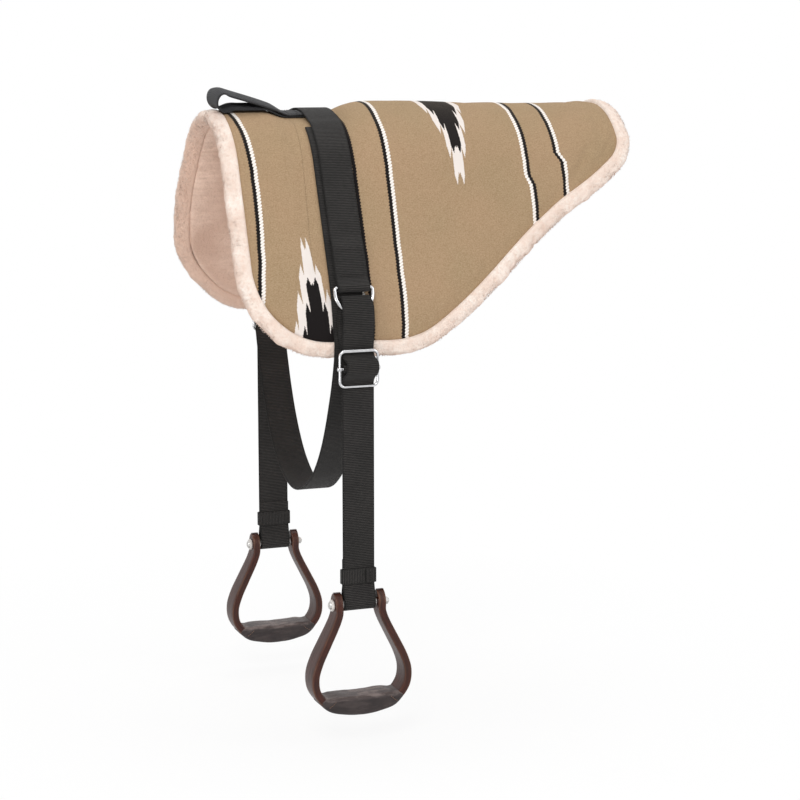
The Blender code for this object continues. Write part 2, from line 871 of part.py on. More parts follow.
# Middle line of the stirrup bow from the front ear round to the rear ear, with the half depth there.
def bow_stations():
    ear_radius = stirrup_band / 2.0
    half = []
    for share in ear_turn_shares:
        angle = math.pi / 2.0 * share
        half.append((-stirrup_neck, ear_radius * math.sin(angle), ear_radius * math.cos(angle)))
    half.append((-stirrup_neck, 0.0, ear_radius))
    points = [(-stirrup_neck, -stirrup_neck_drop)]
    for half_share, drop_share in zip(bow_half_shares, bow_drop_shares):
        points.append((-stirrup_half_width * half_share, -stirrup_depth * drop_share))
    mirrored = [(-x, z) for x, z in reversed(points[:-1])]
    curve = smooth_path(points + mirrored, curve_steps)
    stations = half + [(x, z, ear_radius) for x, z in curve]
    stations += [(-x, z, depth) for x, z, depth in reversed(half)]
    return stations


def bow_directions(stations):
    directions = []
    last = len(stations) - 1
    for index in range(len(stations)):
        before = stations[max(index - 1, 0)]
        after = stations[min(index + 1, last)]
        run = (after[0] - before[0], after[1] - before[1])
        size = math.hypot(*run)
        directions.append((run[1] / size, -run[0] / size))
    return directions


# A rounded oblong section across the bow, between two distances out from its middle line.
def band_section(station, outward, side, inner, outer, half_depth, corner):
    corner = min(corner, half_depth * corner_depth_share, (outer - inner) * corner_thick_share)
    outline = (
        (inner, half_depth - corner), (inner + corner, half_depth),
        (outer - corner, half_depth), (outer, half_depth - corner),
        (outer, corner - half_depth), (outer - corner, -half_depth),
        (inner + corner, -half_depth), (inner, corner - half_depth),
    )
    return [
        (
            station[0] + outward[0] * away,
            side * (loop_middle + depth),
            bolt_level + station[1] + outward[1] * away,
        )
        for away, depth in outline
    ]


# The bow: a band of even thickness whose two ears are rounded over the bolt and drilled for it.
def make_bow(side, name, material, pivot):
    stations = bow_stations()
    directions = bow_directions(stations)
    half = stirrup_thickness / 2.0
    sections = [
        band_section(station, outward, side, -half, half, station[2], stirrup_edge_round)
        for station, outward in zip(stations, directions)
    ]
    item = finish_mesh(name, loft(sections), material, pivot, smooth=True)
    reach = stirrup_neck + half + cut_overrun
    hole_radius = bolt_radius + bolt_hole_slack
    drill = turn_solid(
        ((-reach, 0), (-reach, hole_radius), (reach, hole_radius), (reach, 0)),
        (side * loop_middle, bolt_level),
        round_sides,
    )
    cutter = finish_mesh(name + "_drill_guide", drill, material, pivot)
    hide_guide(cutter)
    join_solids(item, cutter, "DIFFERENCE")
    return item


# Stations of the bow whose middle line lies under the tread.
def tread_stations(half_length):
    stations = bow_stations()
    directions = bow_directions(stations)
    chosen = []
    for station, outward in zip(stations, directions):
        if abs(station[0]) <= half_length and station[1] < -stirrup_depth / 2.0:
            chosen.append((station, outward))
    return chosen


def block_thickness(station):
    share = min(abs(station[0]) / tread_half, 1.0)
    return tread_block_thickness * (1.0 - block_taper_share * share ** 3)


def make_tread_block(side, name, material, pivot):
    sections = []
    for station, outward in tread_stations(tread_block_half):
        outer = -stirrup_thickness / 2.0 - seat_gap
        inner = outer - block_thickness(station)
        half_depth = stirrup_band / 2.0 + tread_block_overhang
        sections.append(band_section(station, outward, side, inner, outer, half_depth, stirrup_edge_round))
    return finish_mesh(name, loft(sections), material, pivot, smooth=True)


# The leather is a sleeve: its inner wall clears the bow and the block, its top is crowned.
def make_tread_cover(side, name, material, pivot):
    sections = []
    half_depth = stirrup_band / 2.0 + tread_block_overhang + seat_gap
    for station, outward in tread_stations(tread_half):
        outer = stirrup_thickness / 2.0 + seat_gap
        inner = -stirrup_thickness / 2.0 - 2.0 * seat_gap - block_thickness(station)
        walls = band_section(station, outward, side, inner, outer, half_depth, seat_gap)
        skin = band_section(
            station, outward, side,
            inner - tread_leather, outer + tread_leather, half_depth + tread_leather, tread_edge_round,
        )
        sections.append((walls, skin))
    form = bmesh.new()
    grids = []
    for layer in (0, 1):
        grids.append([[form.verts.new(point) for point in section[layer]] for section in sections])
    count = len(grids[0][0])
    for rings in grids:
        for first, second in zip(rings, rings[1:]):
            for corner in range(count):
                after = (corner + 1) % count
                form.faces.new((first[corner], first[after], second[after], second[corner]))
    for end in (0, -1):
        wall = grids[0][end]
        skin = grids[1][end]
        for corner in range(count):
            after = (corner + 1) % count
            form.faces.new((wall[corner], wall[after], skin[after], skin[corner]))
    return finish_mesh(name, form, material, pivot, smooth=True)


def make_bolt_set(side, label, materials, pivot):
    centre = (side * loop_middle, bolt_level)
    ear_face = stirrup_neck + stirrup_thickness / 2.0
    neck_face = stirrup_neck - stirrup_thickness / 2.0
    cup_start = -ear_face - seat_gap - cup_thickness
    head_start = cup_start - seat_gap
    washer_start = ear_face + seat_gap
    nut_start = washer_start + washer_thickness + seat_gap
    nut_end = nut_start + nut_thickness
    tube_inner = bolt_radius + seat_gap
    profile = [(head_start - bolt_head_height, 0)]
    for height_share, radius_share in bolt_head_shares:
        profile.append((head_start - bolt_head_height * height_share, bolt_head_radius * radius_share))
    tip_end = nut_end + bolt_radius * bolt_tip_end_share
    profile += [
        (head_start, bolt_head_radius),
        (head_start, bolt_radius),
        (nut_end + bolt_radius * bolt_tip_start_share, bolt_radius),
        (tip_end, bolt_radius * bolt_tip_width_share),
        (tip_end, 0),
    ]
    bolt = turn_solid(profile, centre)
    finish_mesh(label + "stirrup_bolt", bolt, materials["steel"], pivot, smooth=True)
    rings = (
        ("bolt_cup", cup_start, cup_thickness, tube_inner, cup_radius, "nylon", round_sides),
        ("bolt_washer", washer_start, washer_thickness, tube_inner, washer_radius, "steel", round_sides),
        ("bolt_nut", nut_start, nut_thickness, tube_inner, nut_radius, "steel", nut_sides),
        ("bolt_sleeve", soft_gap - neck_face, 2.0 * (neck_face - soft_gap), tube_inner, sleeve_radius,
         "steel", round_sides),
    )
    for part, start, length, inner, outer, material, sides in rings:
        edge = min(outer - inner, length) * turned_edge_share
        profile = (
            (start, inner), (start + length, inner),
            (start + length, outer - edge), (start + length - edge, outer),
            (start + edge, outer), (start, outer - edge),
        )
        form = turn_about_x(profile, centre, sides)
        if sides == nut_sides:
            for vertex in form.verts:
                away = math.hypot(vertex.co.y - centre[0], vertex.co.z - centre[1])
                if away < (inner + outer) / 2.0 - edge:
                    grow = 1.0 / math.cos(math.pi / sides)
                    vertex.co.y = centre[0] + (vertex.co.y - centre[0]) * grow
                    vertex.co.z = centre[1] + (vertex.co.z - centre[1]) * grow
        finish_mesh(label + part, form, materials[material], pivot, smooth=True)


def build():
    remove_all()
    materials = {
        "cover": make_material("woven_cover", (0.45, 0.31, 0.18), 0.9, 0.0),
        "foam": make_material("felt_core", (0.62, 0.58, 0.50), 0.95, 0.0),
        "fleece": make_material("fleece_lining", (0.62, 0.42, 0.32), 1.0, 0.0),
        "roll": make_material("fleece_roll", (0.90, 0.80, 0.71), 1.0, 0.0),
        "webbing": make_material("black_webbing", (0.028, 0.024, 0.024), 0.75, 0.0),
        "steel": make_material("bright_steel", (0.70, 0.70, 0.70), 0.22, 1.0),
        "nylon": make_material("white_nylon", (0.80, 0.79, 0.77), 0.45, 0.0),
        "wood": make_material("stained_wood", (0.095, 0.035, 0.022), 0.40, 0.0),
        "leather": make_material("tread_leather", (0.085, 0.060, 0.055), 0.50, 0.0),
    }
    lining_bottom = -pad_stack
    lining_top = lining_bottom + lining_thickness
    core_bottom = lining_top + seat_gap
    cover_bottom = -cover_thickness
    core_top = cover_bottom - seat_gap
    make_layer("fleece_lining", materials["fleece"], lining_bottom, lining_top, (False, False))
    make_layer("felt_core", materials["foam"], core_bottom, core_top, (False, True))
    make_layer("top_cover", materials["cover"], cover_bottom, 0.0, (True, True))
    make_roll(materials["roll"])
    make_rigging(materials["webbing"])
    make_girth(materials["webbing"])
    make_handle(materials["webbing"])
    for side, label in ((-1.0, "near_"), (1.0, "far_")):
        bar_out, bar_level = ring_point(side, 0.0, 0.0)
        ring_pivot = make_pivot(label + "ring_pivot", (0.0, side * bar_out, bar_level))
        swing_out, swing_level = ring_point(side, ring_leg, 0.0)
        swing_pivot = make_pivot(label + "swing_pivot", (0.0, side * swing_out, swing_level))
        bolt_pivot = make_pivot(label + "bolt_pivot", (0.0, side * loop_middle, bolt_level))
        keeper_pivot = make_pivot(
            label + "keeper_pivot", (0.0, side * loop_middle, bolt_level + keeper_above_bolt)
        )
        make_ring(side, label + "d_ring", materials["steel"], ring_pivot)
        strap = make_strap_form(strap_path(side), side)
        finish_mesh(label + "stirrup_strap", strap, materials["webbing"], swing_pivot)
        make_buckle_frame(side, label + "buckle_frame", materials["steel"], swing_pivot)
        make_buckle_bar(side, label + "buckle_bar", materials["steel"], swing_pivot)
        make_keeper(side, label + "keeper", materials["webbing"], keeper_pivot)
        make_bolt_set(side, label, materials, bolt_pivot)
        make_bow(side, label + "stirrup_bow", materials["wood"], bolt_pivot)
        make_tread_block(side, label + "tread_block", materials["wood"], bolt_pivot)
        make_tread_cover(side, label + "tread_cover", materials["leather"], bolt_pivot)


build()
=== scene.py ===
import math

import bmesh
import bpy
import numpy as np
from mathutils import Matrix, Vector, noise


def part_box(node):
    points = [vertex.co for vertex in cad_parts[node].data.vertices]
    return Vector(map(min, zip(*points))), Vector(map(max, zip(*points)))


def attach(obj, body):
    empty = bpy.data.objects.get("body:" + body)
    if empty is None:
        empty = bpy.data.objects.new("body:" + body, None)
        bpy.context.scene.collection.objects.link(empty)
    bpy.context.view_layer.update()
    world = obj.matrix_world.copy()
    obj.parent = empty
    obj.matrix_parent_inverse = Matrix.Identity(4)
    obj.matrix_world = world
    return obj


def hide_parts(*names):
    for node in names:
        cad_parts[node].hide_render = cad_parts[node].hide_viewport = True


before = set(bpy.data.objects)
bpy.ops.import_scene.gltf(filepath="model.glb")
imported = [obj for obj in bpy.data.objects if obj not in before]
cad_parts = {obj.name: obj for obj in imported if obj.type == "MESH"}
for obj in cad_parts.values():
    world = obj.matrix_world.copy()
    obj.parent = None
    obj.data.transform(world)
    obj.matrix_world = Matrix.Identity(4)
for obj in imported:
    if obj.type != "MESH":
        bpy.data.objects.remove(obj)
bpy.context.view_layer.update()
print("frame loaded")

# Metres, +Z up, -X is the horse's front, -Y the near side.
# The pad's own coordinates: x along the spine, s round the arch from the pad's middle, h above the cover.
# The pad lies a little lower on the near side, so its middle is beside the arch's crest.
pad = {
    "crestRadius": 0.120,  # of the arch over the spine
    "sideAngle": math.radians(68.0),  # slope of its straight sides
    "sideRun": 0.1725,  # length of the straight sides
    "skirtRadius": 0.340,  # of the bend below them
    "stack": 0.0176,  # from the lining's lower face to the cover's upper one
    "rearLift": 0.008,  # how much higher the rear end lies
    "rearReach": 0.505,
    "frontReach": 0.175,
    "sideReach": 0.429,
    "frontCorner": 0.139,
    "lowerCorner": 0.180,
    "rearCorner": 0.070,
    "slopeFoot": 0.101,  # x where the rear slope of the outline would meet the lower edge
    "slopeAngle": math.radians(36.6),
    "rollWidth": 0.025,
    "rollHeight": 0.024,
    "drapeShift": 0.014,  # how far the pad hangs down on the near side
    "strapMiddle": -0.004,  # x of the middle of rigging and girth together
    "swellings": ((0.170, 0.150, 0.0137), (0.440, 0.090, 0.0093)),  # of the edge: x, half length, size
    "farFront": ((0.235, 0.125, -0.0085), (0.400, 0.080, 0.0085)),  # moves along: s, half length, size
    "farFrontReach": (-0.150, -0.060),  # x where those moves are full and where they end
}
crestRun = pad["crestRadius"] * pad["sideAngle"]
skirtRun = pad["skirtRadius"] * (math.pi / 2 - pad["sideAngle"])
innerSide = pad["sideReach"] - pad["rollWidth"]


# Places on the pad.
def archPoint(s, h):
    s = np.asarray(s, float)
    h = np.asarray(h, float)
    d = np.abs(s)
    onCrest = np.minimum(d, crestRun)
    onSide = np.clip(d - crestRun, 0, pad["sideRun"])
    onSkirt = np.clip(d - crestRun - pad["sideRun"], 0, skirtRun)
    below = np.maximum(d - crestRun - pad["sideRun"] - skirtRun, 0)
    heading = onCrest / pad["crestRadius"]
    out = pad["crestRadius"] * np.sin(heading) + onSide * math.cos(pad["sideAngle"])
    drop = pad["crestRadius"] * (1 - np.cos(heading)) + onSide * math.sin(pad["sideAngle"])
    turned = pad["sideAngle"] + onSkirt / pad["skirtRadius"]
    out = out + pad["skirtRadius"] * (np.sin(turned) - math.sin(pad["sideAngle"]))
    drop = drop + pad["skirtRadius"] * (math.cos(pad["sideAngle"]) - np.cos(turned)) + below
    heading = heading + onSkirt / pad["skirtRadius"]
    return np.sign(s) * (out + h * np.sin(heading)), pad["stack"] - drop + h * np.cos(heading)


def smoothStep(value, low, high):
    share = np.clip((np.asarray(value, float) - low) / (high - low), 0, 1)
    return share * share * (3 - 2 * share)


def mound(value, place, width):
    return np.clip(1 - ((np.asarray(value, float) - place) / width) ** 2, 0, 1) ** 2


def sidePoint(side, s, h):
    out, level = archPoint(side * s - pad["drapeShift"], h)
    return side * float(out), float(level)


def padPoint(x, s, h):
    out, level = archPoint(np.asarray(s, float) - pad["drapeShift"], h)
    lift = pad["rearLift"] * smoothStep(x, 0, pad["rearReach"])
    x = np.asarray(x, float)
    loose = 1 - smoothStep(x, *pad["farFrontReach"])
    for place, width, size in pad["farFront"]:
        x = x + size * loose * mound(s, place, width)
    return np.stack(np.broadcast_arrays(x, out, level + lift), axis=-1)


# The flat outline of the layers inside the roll.
slopeSine = math.sin(pad["slopeAngle"])
slopeCosine = math.cos(pad["slopeAngle"])
slopeOffset = slopeSine * pad["slopeFoot"] + slopeCosine * pad["sideReach"]
frontRadius = pad["frontCorner"] - pad["rollWidth"]
lowerRadius = pad["lowerCorner"] - pad["rollWidth"]
rearRadius = pad["rearCorner"] - pad["rollWidth"]
frontX = pad["frontCorner"] - pad["frontReach"]
lowerX = pad["slopeFoot"] - pad["lowerCorner"] * math.tan(pad["slopeAngle"] / 2)
rearX = pad["rearReach"] - pad["rearCorner"]
rearS = (slopeOffset - pad["rearCorner"] - slopeSine * rearX) / slopeCosine
frontEnd = frontX - frontRadius
rearEnd = rearX + rearRadius


def plainReach(x):
    if x < frontX:
        return innerSide - frontRadius + math.sqrt(max(frontRadius ** 2 - (x - frontX) ** 2, 0))
    if x <= lowerX:
        return innerSide
    if x < lowerX + lowerRadius * slopeSine:
        return innerSide - lowerRadius + math.sqrt(lowerRadius ** 2 - (x - lowerX) ** 2)
    if x <= rearX + rearRadius * slopeSine:
        return (slopeOffset - pad["rollWidth"] - slopeSine * x) / slopeCosine
    return rearS + math.sqrt(max(rearRadius ** 2 - (x - rearX) ** 2, 0))


# How far the layers reach round the arch at a column.
def edgeReach(x):
    x = min(max(x, frontEnd), rearEnd)
    reach = plainReach(x)
    for place, width, size in pad["swellings"]:
        reach += size * float(mound(x, place, width))
    return reach


# How the cover lies: sunk under the sewn strap ends, full behind them, drawn in at the roll.
coverShape = {
    "seatCrown": 0.0112,  # rise behind the straps
    "seatStart": 0.026,
    "seatFull": 0.085,
    "seatGone": 0.44,
    "withersCrown": 0.003,  # rise before them
    "crownFade": (0.08, 0.31),
    "strapSink": 0.0058,  # how deep the sewn ends lie
    "sinkFront": (-0.088, -0.052),
    "sinkRear": (0.029, 0.052),
    "sinkAcross": (0.029, 0.060),
    "edgeDraw": 0.0022,
    "edgeWidth": 0.018,
}


def coverRise(x, s):
    c = coverShape
    seat = c["seatCrown"] * smoothStep(x, c["seatStart"], c["seatFull"])
    seat = seat * (1 - smoothStep(x, c["seatFull"], c["seatGone"]))
    front = smoothStep(x, *c["sinkFront"])
    withers = c["withersCrown"] * (1 - front)
    fade = 1 - smoothStep(np.abs(s), *c["crownFade"])
    alongSink = front * (1 - smoothStep(x, *c["sinkRear"]))
    acrossSink = 1 - smoothStep(np.abs(s), *c["sinkAcross"])
    return (seat + withers) * fade - c["strapSink"] * alongSink * acrossSink


# Making meshes.
def runLengths(run):
    return np.concatenate([[0], np.cumsum(np.linalg.norm(np.diff(run, axis=0), axis=1))])


def unitRows(rows):
    return rows / np.linalg.norm(rows, axis=1)[:, None]


def makePiece(name, points, faces, corners, material):
    mesh = bpy.data.meshes.new(name)
    mesh.from_pydata([tuple(p) for p in points], [], faces)
    layer = mesh.uv_layers.new(name="flat")
    layer.data.foreach_set("uv", np.asarray(corners, np.float32).ravel())
    mesh.materials.append(material)
    mesh.update()
    mesh.shade_smooth()
    piece = bpy.data.objects.new(name, mesh)
    bpy.context.scene.collection.objects.link(piece)
    return piece


def gridFaces(rows, cols, uv, wrapRows=False, wrapCols=False, flip=False):
    faces = []
    corners = []
    for i in range(rows if wrapRows else rows - 1):
        for j in range(cols if wrapCols else cols - 1):
            nextI = (i + 1) % rows
            nextJ = (j + 1) % cols
            face = [i * cols + j, i * cols + nextJ, nextI * cols + nextJ, nextI * cols + j]
            corner = [uv[i, j], uv[i, j + 1], uv[i + 1, j + 1], uv[i + 1, j]]
            if flip:
                face.reverse()
                corner.reverse()
            faces.append(face)
            corners += corner
    return faces, corners


def tidyNormals(piece):
    form = bmesh.new()
    form.from_mesh(piece.data)
    bmesh.ops.recalc_face_normals(form, faces=form.faces[:])
    form.to_mesh(piece.data)
    form.free()
    return piece


# A tube of rings of points, capped at its ends unless it closes on itself.
# Its flat coordinates are the places along it and around it, or around it first.
def makeTube(name, points, along, around, material, closed=False, aroundFirst=False):
    rows, cols = points.shape[:2]
    uv = np.stack(np.meshgrid(along, around, indexing="ij"), axis=-1)
    if aroundFirst:
        uv = uv[:, :, ::-1]
    faces, corners = gridFaces(rows, cols, uv, wrapRows=closed, wrapCols=True)
    if not closed:
        for row in (0, rows - 1):
            faces.append([row * cols + j for j in range(cols)])
            corners += list(uv[row, :cols])
    return tidyNormals(makePiece(name, points.reshape(-1, 3), faces, corners, material))


def addSubdivision(piece, levels=1):
    modifier = piece.modifiers.new("finer", "SUBSURF")
    modifier.levels = levels
    modifier.render_levels = levels


def hang(piece, body, slot, *replaced):
    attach(piece, body)
    if replaced:
        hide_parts(*replaced)


# A smooth run through given places, evenly stepped.
def smoothRun(points, step):
    points = np.asarray(points, float)
    last = len(points) - 1
    run = []
    for i in range(last):
        p0, p1, p2, p3 = points[[max(i - 1, 0), i, i + 1, min(i + 2, last)]]
        before, span, after = np.linalg.norm([p1 - p0, p2 - p1, p3 - p2], axis=1)
        leave = (p2 - p0) * span / max(span + before, 1e-9)
        arrive = (p3 - p1) * span / max(after + span, 1e-9)
        count = max(int(math.ceil(span / step)), 1)
        for k in range(count):
            t = k / count
            run.append(
                (2 * t ** 3 - 3 * t ** 2 + 1) * p1 + (t ** 3 - 2 * t ** 2 + t) * leave
                + (3 * t ** 2 - 2 * t ** 3) * p2 + (t ** 3 - t ** 2) * arrive
            )
    run.append(points[-1])
    return np.array(run)


def arcRun(centre, radius, start, stop, steps):
    turns = [start + (stop - start) * i / steps for i in range(steps + 1)]
    return [(centre[0] + radius * math.cos(t), centre[1] + radius * math.sin(t)) for t in turns]


# A box with round corners, from the upper right corner leftwards, its straight sides cut into flats.
def roundedBox(left, right, low, high, corner, steps, flats):
    places = []
    centres = ((right - corner, high - corner), (left + corner, high - corner),
               (left + corner, low + corner), (right - corner, low + corner))
    for k, centre in enumerate(centres):
        places += arcRun(centre, corner, math.pi / 2 * k, math.pi / 2 * (k + 1), steps)
    full = []
    for k, (a, b) in enumerate(places):
        full.append((a, b))
        if k % (steps + 1) == steps:
            c, d = places[(k + 1) % len(places)]
            full += [(a + (c - a) * m / flats, b + (d - b) * m / flats) for m in range(1, flats)]
    return full


# Woven webbing.
webbing = {
    "width": 0.0508,
    "thickness": 0.0026,
    "faceColumns": 9,
    "edgeShare": 0.9,
    "edgeTurns": (0.9, 0.0, -0.9),
    "ripple": 0.0002,
    "rippleScale": (30, 14),
    "sharpAngle": math.radians(50),
}
halfWidth = webbing["width"] / 2
halfThick = webbing["thickness"] / 2


# Webbing laid along a flat run (p, q); place turns (p, q, across) into a point.
# What lie gives at a step of the run: the share of the width, a shift across and a curl of the edges.
def makeWebbing(name, run, place, material, width=webbing["width"], thickness=webbing["thickness"],
                ripple=0.0, seed=0.0, lie=None):
    ahead = unitRows(np.gradient(run, axis=0))
    normals = np.stack([-ahead[:, 1], ahead[:, 0]], axis=1)
    steps = runLengths(run)
    half = width / 2
    thick = thickness / 2
    edge = thick * webbing["edgeShare"]
    flat = np.linspace(-half + edge, half - edge, webbing["faceColumns"])
    bends = [(half - edge + edge * math.cos(t), thick * math.sin(t)) for t in webbing["edgeTurns"]]
    section = [(a, thick) for a in flat] + bends
    section += [(a, -thick) for a in flat[::-1]] + [(-a, -b) for a, b in bends]
    points = np.zeros((len(run), len(section), 3))
    for i, spot in enumerate(run):
        share, shift, curl = lie(i, steps) if lie else (1.0, 0.0, 0.0)
        for j, (across, out) in enumerate(section):
            wave = curl * (across / half) ** 2
            if ripple:
                acrossScale, alongScale = webbing["rippleScale"]
                wave += ripple * noise.noise(Vector((across * acrossScale, steps[i] * alongScale, seed)))
            p, q = spot + normals[i] * (out + wave)
            points[i, j] = place(p, q, across * share + shift)
    around = [a for a, b in section] + [section[0][0]]
    piece = makeTube(name, points, steps, around, material, aroundFirst=True)
    piece.data.set_sharp_from_angle(angle=webbing["sharpAngle"])
    return piece


# Sewing thread: each stitch is a short plump spindle between two holes.
thread = {
    "length": 0.0026,
    "gap": 0.0012,
    "radius": 0.00042,
    "sides": 6,
    "spindle": ((0.25, -0.6), (0.9, 0.35), (1.0, 0.6), (0.9, 0.35), (0.25, -0.6)),  # size and rise
    "lift": 0.0001,
    "rowSteps": 24,
}


def makeStitches(name, rows, material):
    sides = thread["sides"]
    last = len(thread["spindle"]) - 1
    points = []
    faces = []
    for run, facing in rows:
        along = runLengths(run)
        for k in range(int(along[-1] / (thread["length"] + thread["gap"]))):
            marks = k * (thread["length"] + thread["gap"]) + np.linspace(0, 1, last + 1) * thread["length"]
            centre = np.stack([np.interp(marks, along, run[:, a]) for a in range(3)], axis=1)
            out = np.stack([np.interp(marks, along, facing[:, a]) for a in range(3)], axis=1)
            ahead = centre[-1] - centre[0]
            aside = np.cross(ahead / np.linalg.norm(ahead), out[2])
            aside /= np.linalg.norm(aside)
            base = len(points)
            for m, (size, rise) in enumerate(thread["spindle"]):
                for c in range(sides):
                    turn = 2 * math.pi * c / sides
                    points.append(
                        centre[m] + out[m] * thread["radius"] * rise
                        + (aside * math.cos(turn) + out[m] * math.sin(turn)) * thread["radius"] * size
                    )
            for m in range(last):
                low = base + m * sides
                for c in range(sides):
                    d = (c + 1) % sides
                    faces.append([low + c, low + d, low + sides + d, low + sides + c])
            faces.append([base + c for c in range(sides - 1, -1, -1)])
            faces.append([base + last * sides + c for c in range(sides)])
    corners = [(0.0, 0.0)] * sum(len(face) for face in faces)
    return makePiece(name, points, faces, corners, material)


# Rows of thread along straight lines on a surface that gives a place and an outward direction.
def sewnRows(lines, surface):
    rows = []
    for start, stop in lines:
        shares = [k / thread["rowSteps"] for k in range(thread["rowSteps"] + 1)]
        marks = [np.array(start) + (np.array(stop) - np.array(start)) * share for share in shares]
        places, facings = zip(*[surface(a, b) for a, b in marks])
        rows.append((np.array(places), np.array(facings)))
    return rows


def boxLines(a0, a1, b0, b1):
    return [((a0, b0), (a1, b0)), ((a1, b0), (a1, b1)), ((a1, b1), (a0, b1)), ((a0, b1), (a0, b0))]


# Shader helpers.
class Nodes:
    def __init__(self, tree):
        self.tree = tree

    def add(self, kind, **values):
        node = self.tree.nodes.new(kind)
        for key, value in values.items():
            setattr(node, key, value)
        return node

    def join(self, source, target):
        self.tree.links.new(source, target)

    def feed(self, target, value):
        if isinstance(value, bpy.types.NodeSocket):
            self.join(value, target)
        elif value is not None:
            target.default_value = value

    def make(self, kind, inputs, out=0, **values):
        node = self.add(kind, **values)
        for label, value in inputs:
            self.feed(node.inputs[label], value)
        return node.outputs[out]

    def math(self, operation, *values, clamp=False):
        return self.make("ShaderNodeMath", enumerate(values), operation=operation, use_clamp=clamp)

    def plus(self, a, b):
        return self.math("ADD", a, b)

    def minus(self, a, b, clamp=False):
        return self.math("SUBTRACT", a, b, clamp=clamp)

    def times(self, a, b):
        return self.math("MULTIPLY", a, b)

    def over(self, a, b, clamp=False):
        return self.math("DIVIDE", a, b, clamp=clamp)

    def away(self, a, b=0.0):
        return self.math("ABSOLUTE", self.minus(a, b))

    def mix(self, share, a, b):
        return self.make("ShaderNodeMix", ((0, share), (6, a), (7, b)), 2, data_type="RGBA")

    def spread(self, value, low, high, newLow=0.0, newHigh=1.0):
        return self.make("ShaderNodeMapRange", enumerate((value, low, high, newLow, newHigh)), clamp=True)

    # The colour goes over to the tone as the value goes through its limits.
    def tint(self, colour, tone, value, *limits):
        return self.mix(self.spread(value, *limits), colour, tone)

    def noise(self, vector, scale, detail=2.0, rough=0.5):
        inputs = (("Vector", vector), ("Scale", scale), ("Detail", detail), ("Roughness", rough))
        return self.make("ShaderNodeTexNoise", inputs)

    def split(self, vector):
        node = self.add("ShaderNodeSeparateXYZ")
        self.feed(node.inputs[0], vector)
        return node.outputs

    def combine(self, x, y, z=0.0):
        return self.make("ShaderNodeCombineXYZ", enumerate((x, y, z)))

    def stretch(self, vector, sizes):
        return self.combine(*[self.times(part, size) for part, size in zip(self.split(vector), sizes)])

    def place(self):
        return self.add("ShaderNodeTexCoord").outputs["Object"]

    def flat(self):
        return self.add("ShaderNodeUVMap", uv_map="flat").outputs[0]

    def group(self, tree, **values):
        node = self.add("ShaderNodeGroup", node_tree=tree)
        for key, value in values.items():
            self.feed(node.inputs[key], value)
        return node.outputs

    # 1 for what the camera, a mirror or glass sees, 0 for the light that falls on the pieces.
    def seen(self):
        rays = self.add("ShaderNodeLightPath").outputs
        direct = self.math("MAXIMUM", rays["Is Camera Ray"], rays["Is Glossy Ray"])
        return self.math("MAXIMUM", direct, rays["Is Transmission Ray"])


# An input without a value is a vector, any other socket a number.
def newGroup(name, inputs, outputs):
    tree = bpy.data.node_groups.new(name, "ShaderNodeTree")
    for label, value in inputs.items():
        kind = "NodeSocketVector" if value is None else "NodeSocketFloat"
        socket = tree.interface.new_socket(label, in_out="INPUT", socket_type=kind)
        if value is not None:
            socket.default_value = value
    for label in outputs:
        tree.interface.new_socket(label, in_out="OUTPUT", socket_type="NodeSocketFloat")
    n = Nodes(tree)
    return tree, n, n.add("NodeGroupInput").outputs, n.add("NodeGroupOutput").inputs


def newMaterial(name, roughness, metallic=0.0, sheen=0.0, coat=0.0, coatRoughness=0.03, specular=0.5,
                glow=None):
    material = bpy.data.materials.new(name)
    material.use_nodes = True
    shader = material.node_tree.nodes["Principled BSDF"]
    for label, value in (
        ("Roughness", roughness), ("Metallic", metallic), ("Sheen Weight", sheen), ("Sheen Roughness", 0.5),
        ("Coat Weight", coat), ("Coat Roughness", coatRoughness), ("Specular IOR Level", specular),
    ):
        shader.inputs[label].default_value = value
    if glow:
        shader.inputs["Sheen Tint"].default_value = glow
    return material, Nodes(material.node_tree), shader


def finish(n, shader, colour, height, distance, strength, roughness=None):
    n.join(colour, shader.inputs["Base Color"])
    if roughness:
        n.join(roughness, shader.inputs["Roughness"])
    inputs = (("Strength", strength), ("Distance", distance), ("Height", height))
    n.join(n.make("ShaderNodeBump", inputs), shader.inputs["Normal"])


def linear(*bytesIn):
    values = [b / 255 for b in bytesIn]
    return (*[v / 12.92 if v <= 0.04045 else ((v + 0.055) / 1.055) ** 2.4 for v in values], 1.0)


# Shader groups.
# Woven yarn: ribs that run across, broken by columns of warp.
def makeYarnGroup():
    inputs = {"Vector": None, "Rib": 0.0015, "Column": 0.0018, "Twill": 0.5, "Warp": 0.35}
    tree, n, gin, gout = newGroup("wovenYarn", inputs, ("Height", "Groove"))
    u, v, _ = n.split(gin["Vector"])
    column = n.over(u, gin["Column"])
    ribPlace = n.plus(n.over(v, gin["Rib"]), n.times(n.math("PINGPONG", column, 1.0), gin["Twill"]))
    rib = n.away(n.math("SINE", n.times(ribPlace, math.pi)))
    warp = n.away(n.math("SINE", n.times(column, math.pi)))
    warpShare = n.minus(1.0, n.times(n.minus(1.0, warp), gin["Warp"]))
    height = n.times(n.math("POWER", rib, 0.6), warpShare)
    n.join(height, gout["Height"])
    n.join(n.minus(1.0, height, clamp=True), gout["Groove"])
    return tree


# Loose fibre: a soft blotch and a fine fuzz, used by every cloth.
def makeFibreGroup():
    inputs = {"Vector": None, "Blotch": 14.0, "Fuzz": 900.0}
    tree, n, gin, gout = newGroup("looseFibre", inputs, ("Blotch", "Fuzz"))
    n.join(n.noise(gin["Vector"], gin["Blotch"], 3.0), gout["Blotch"])
    n.join(n.noise(gin["Vector"], gin["Fuzz"], 3.0, 0.7), gout["Fuzz"])
    return tree


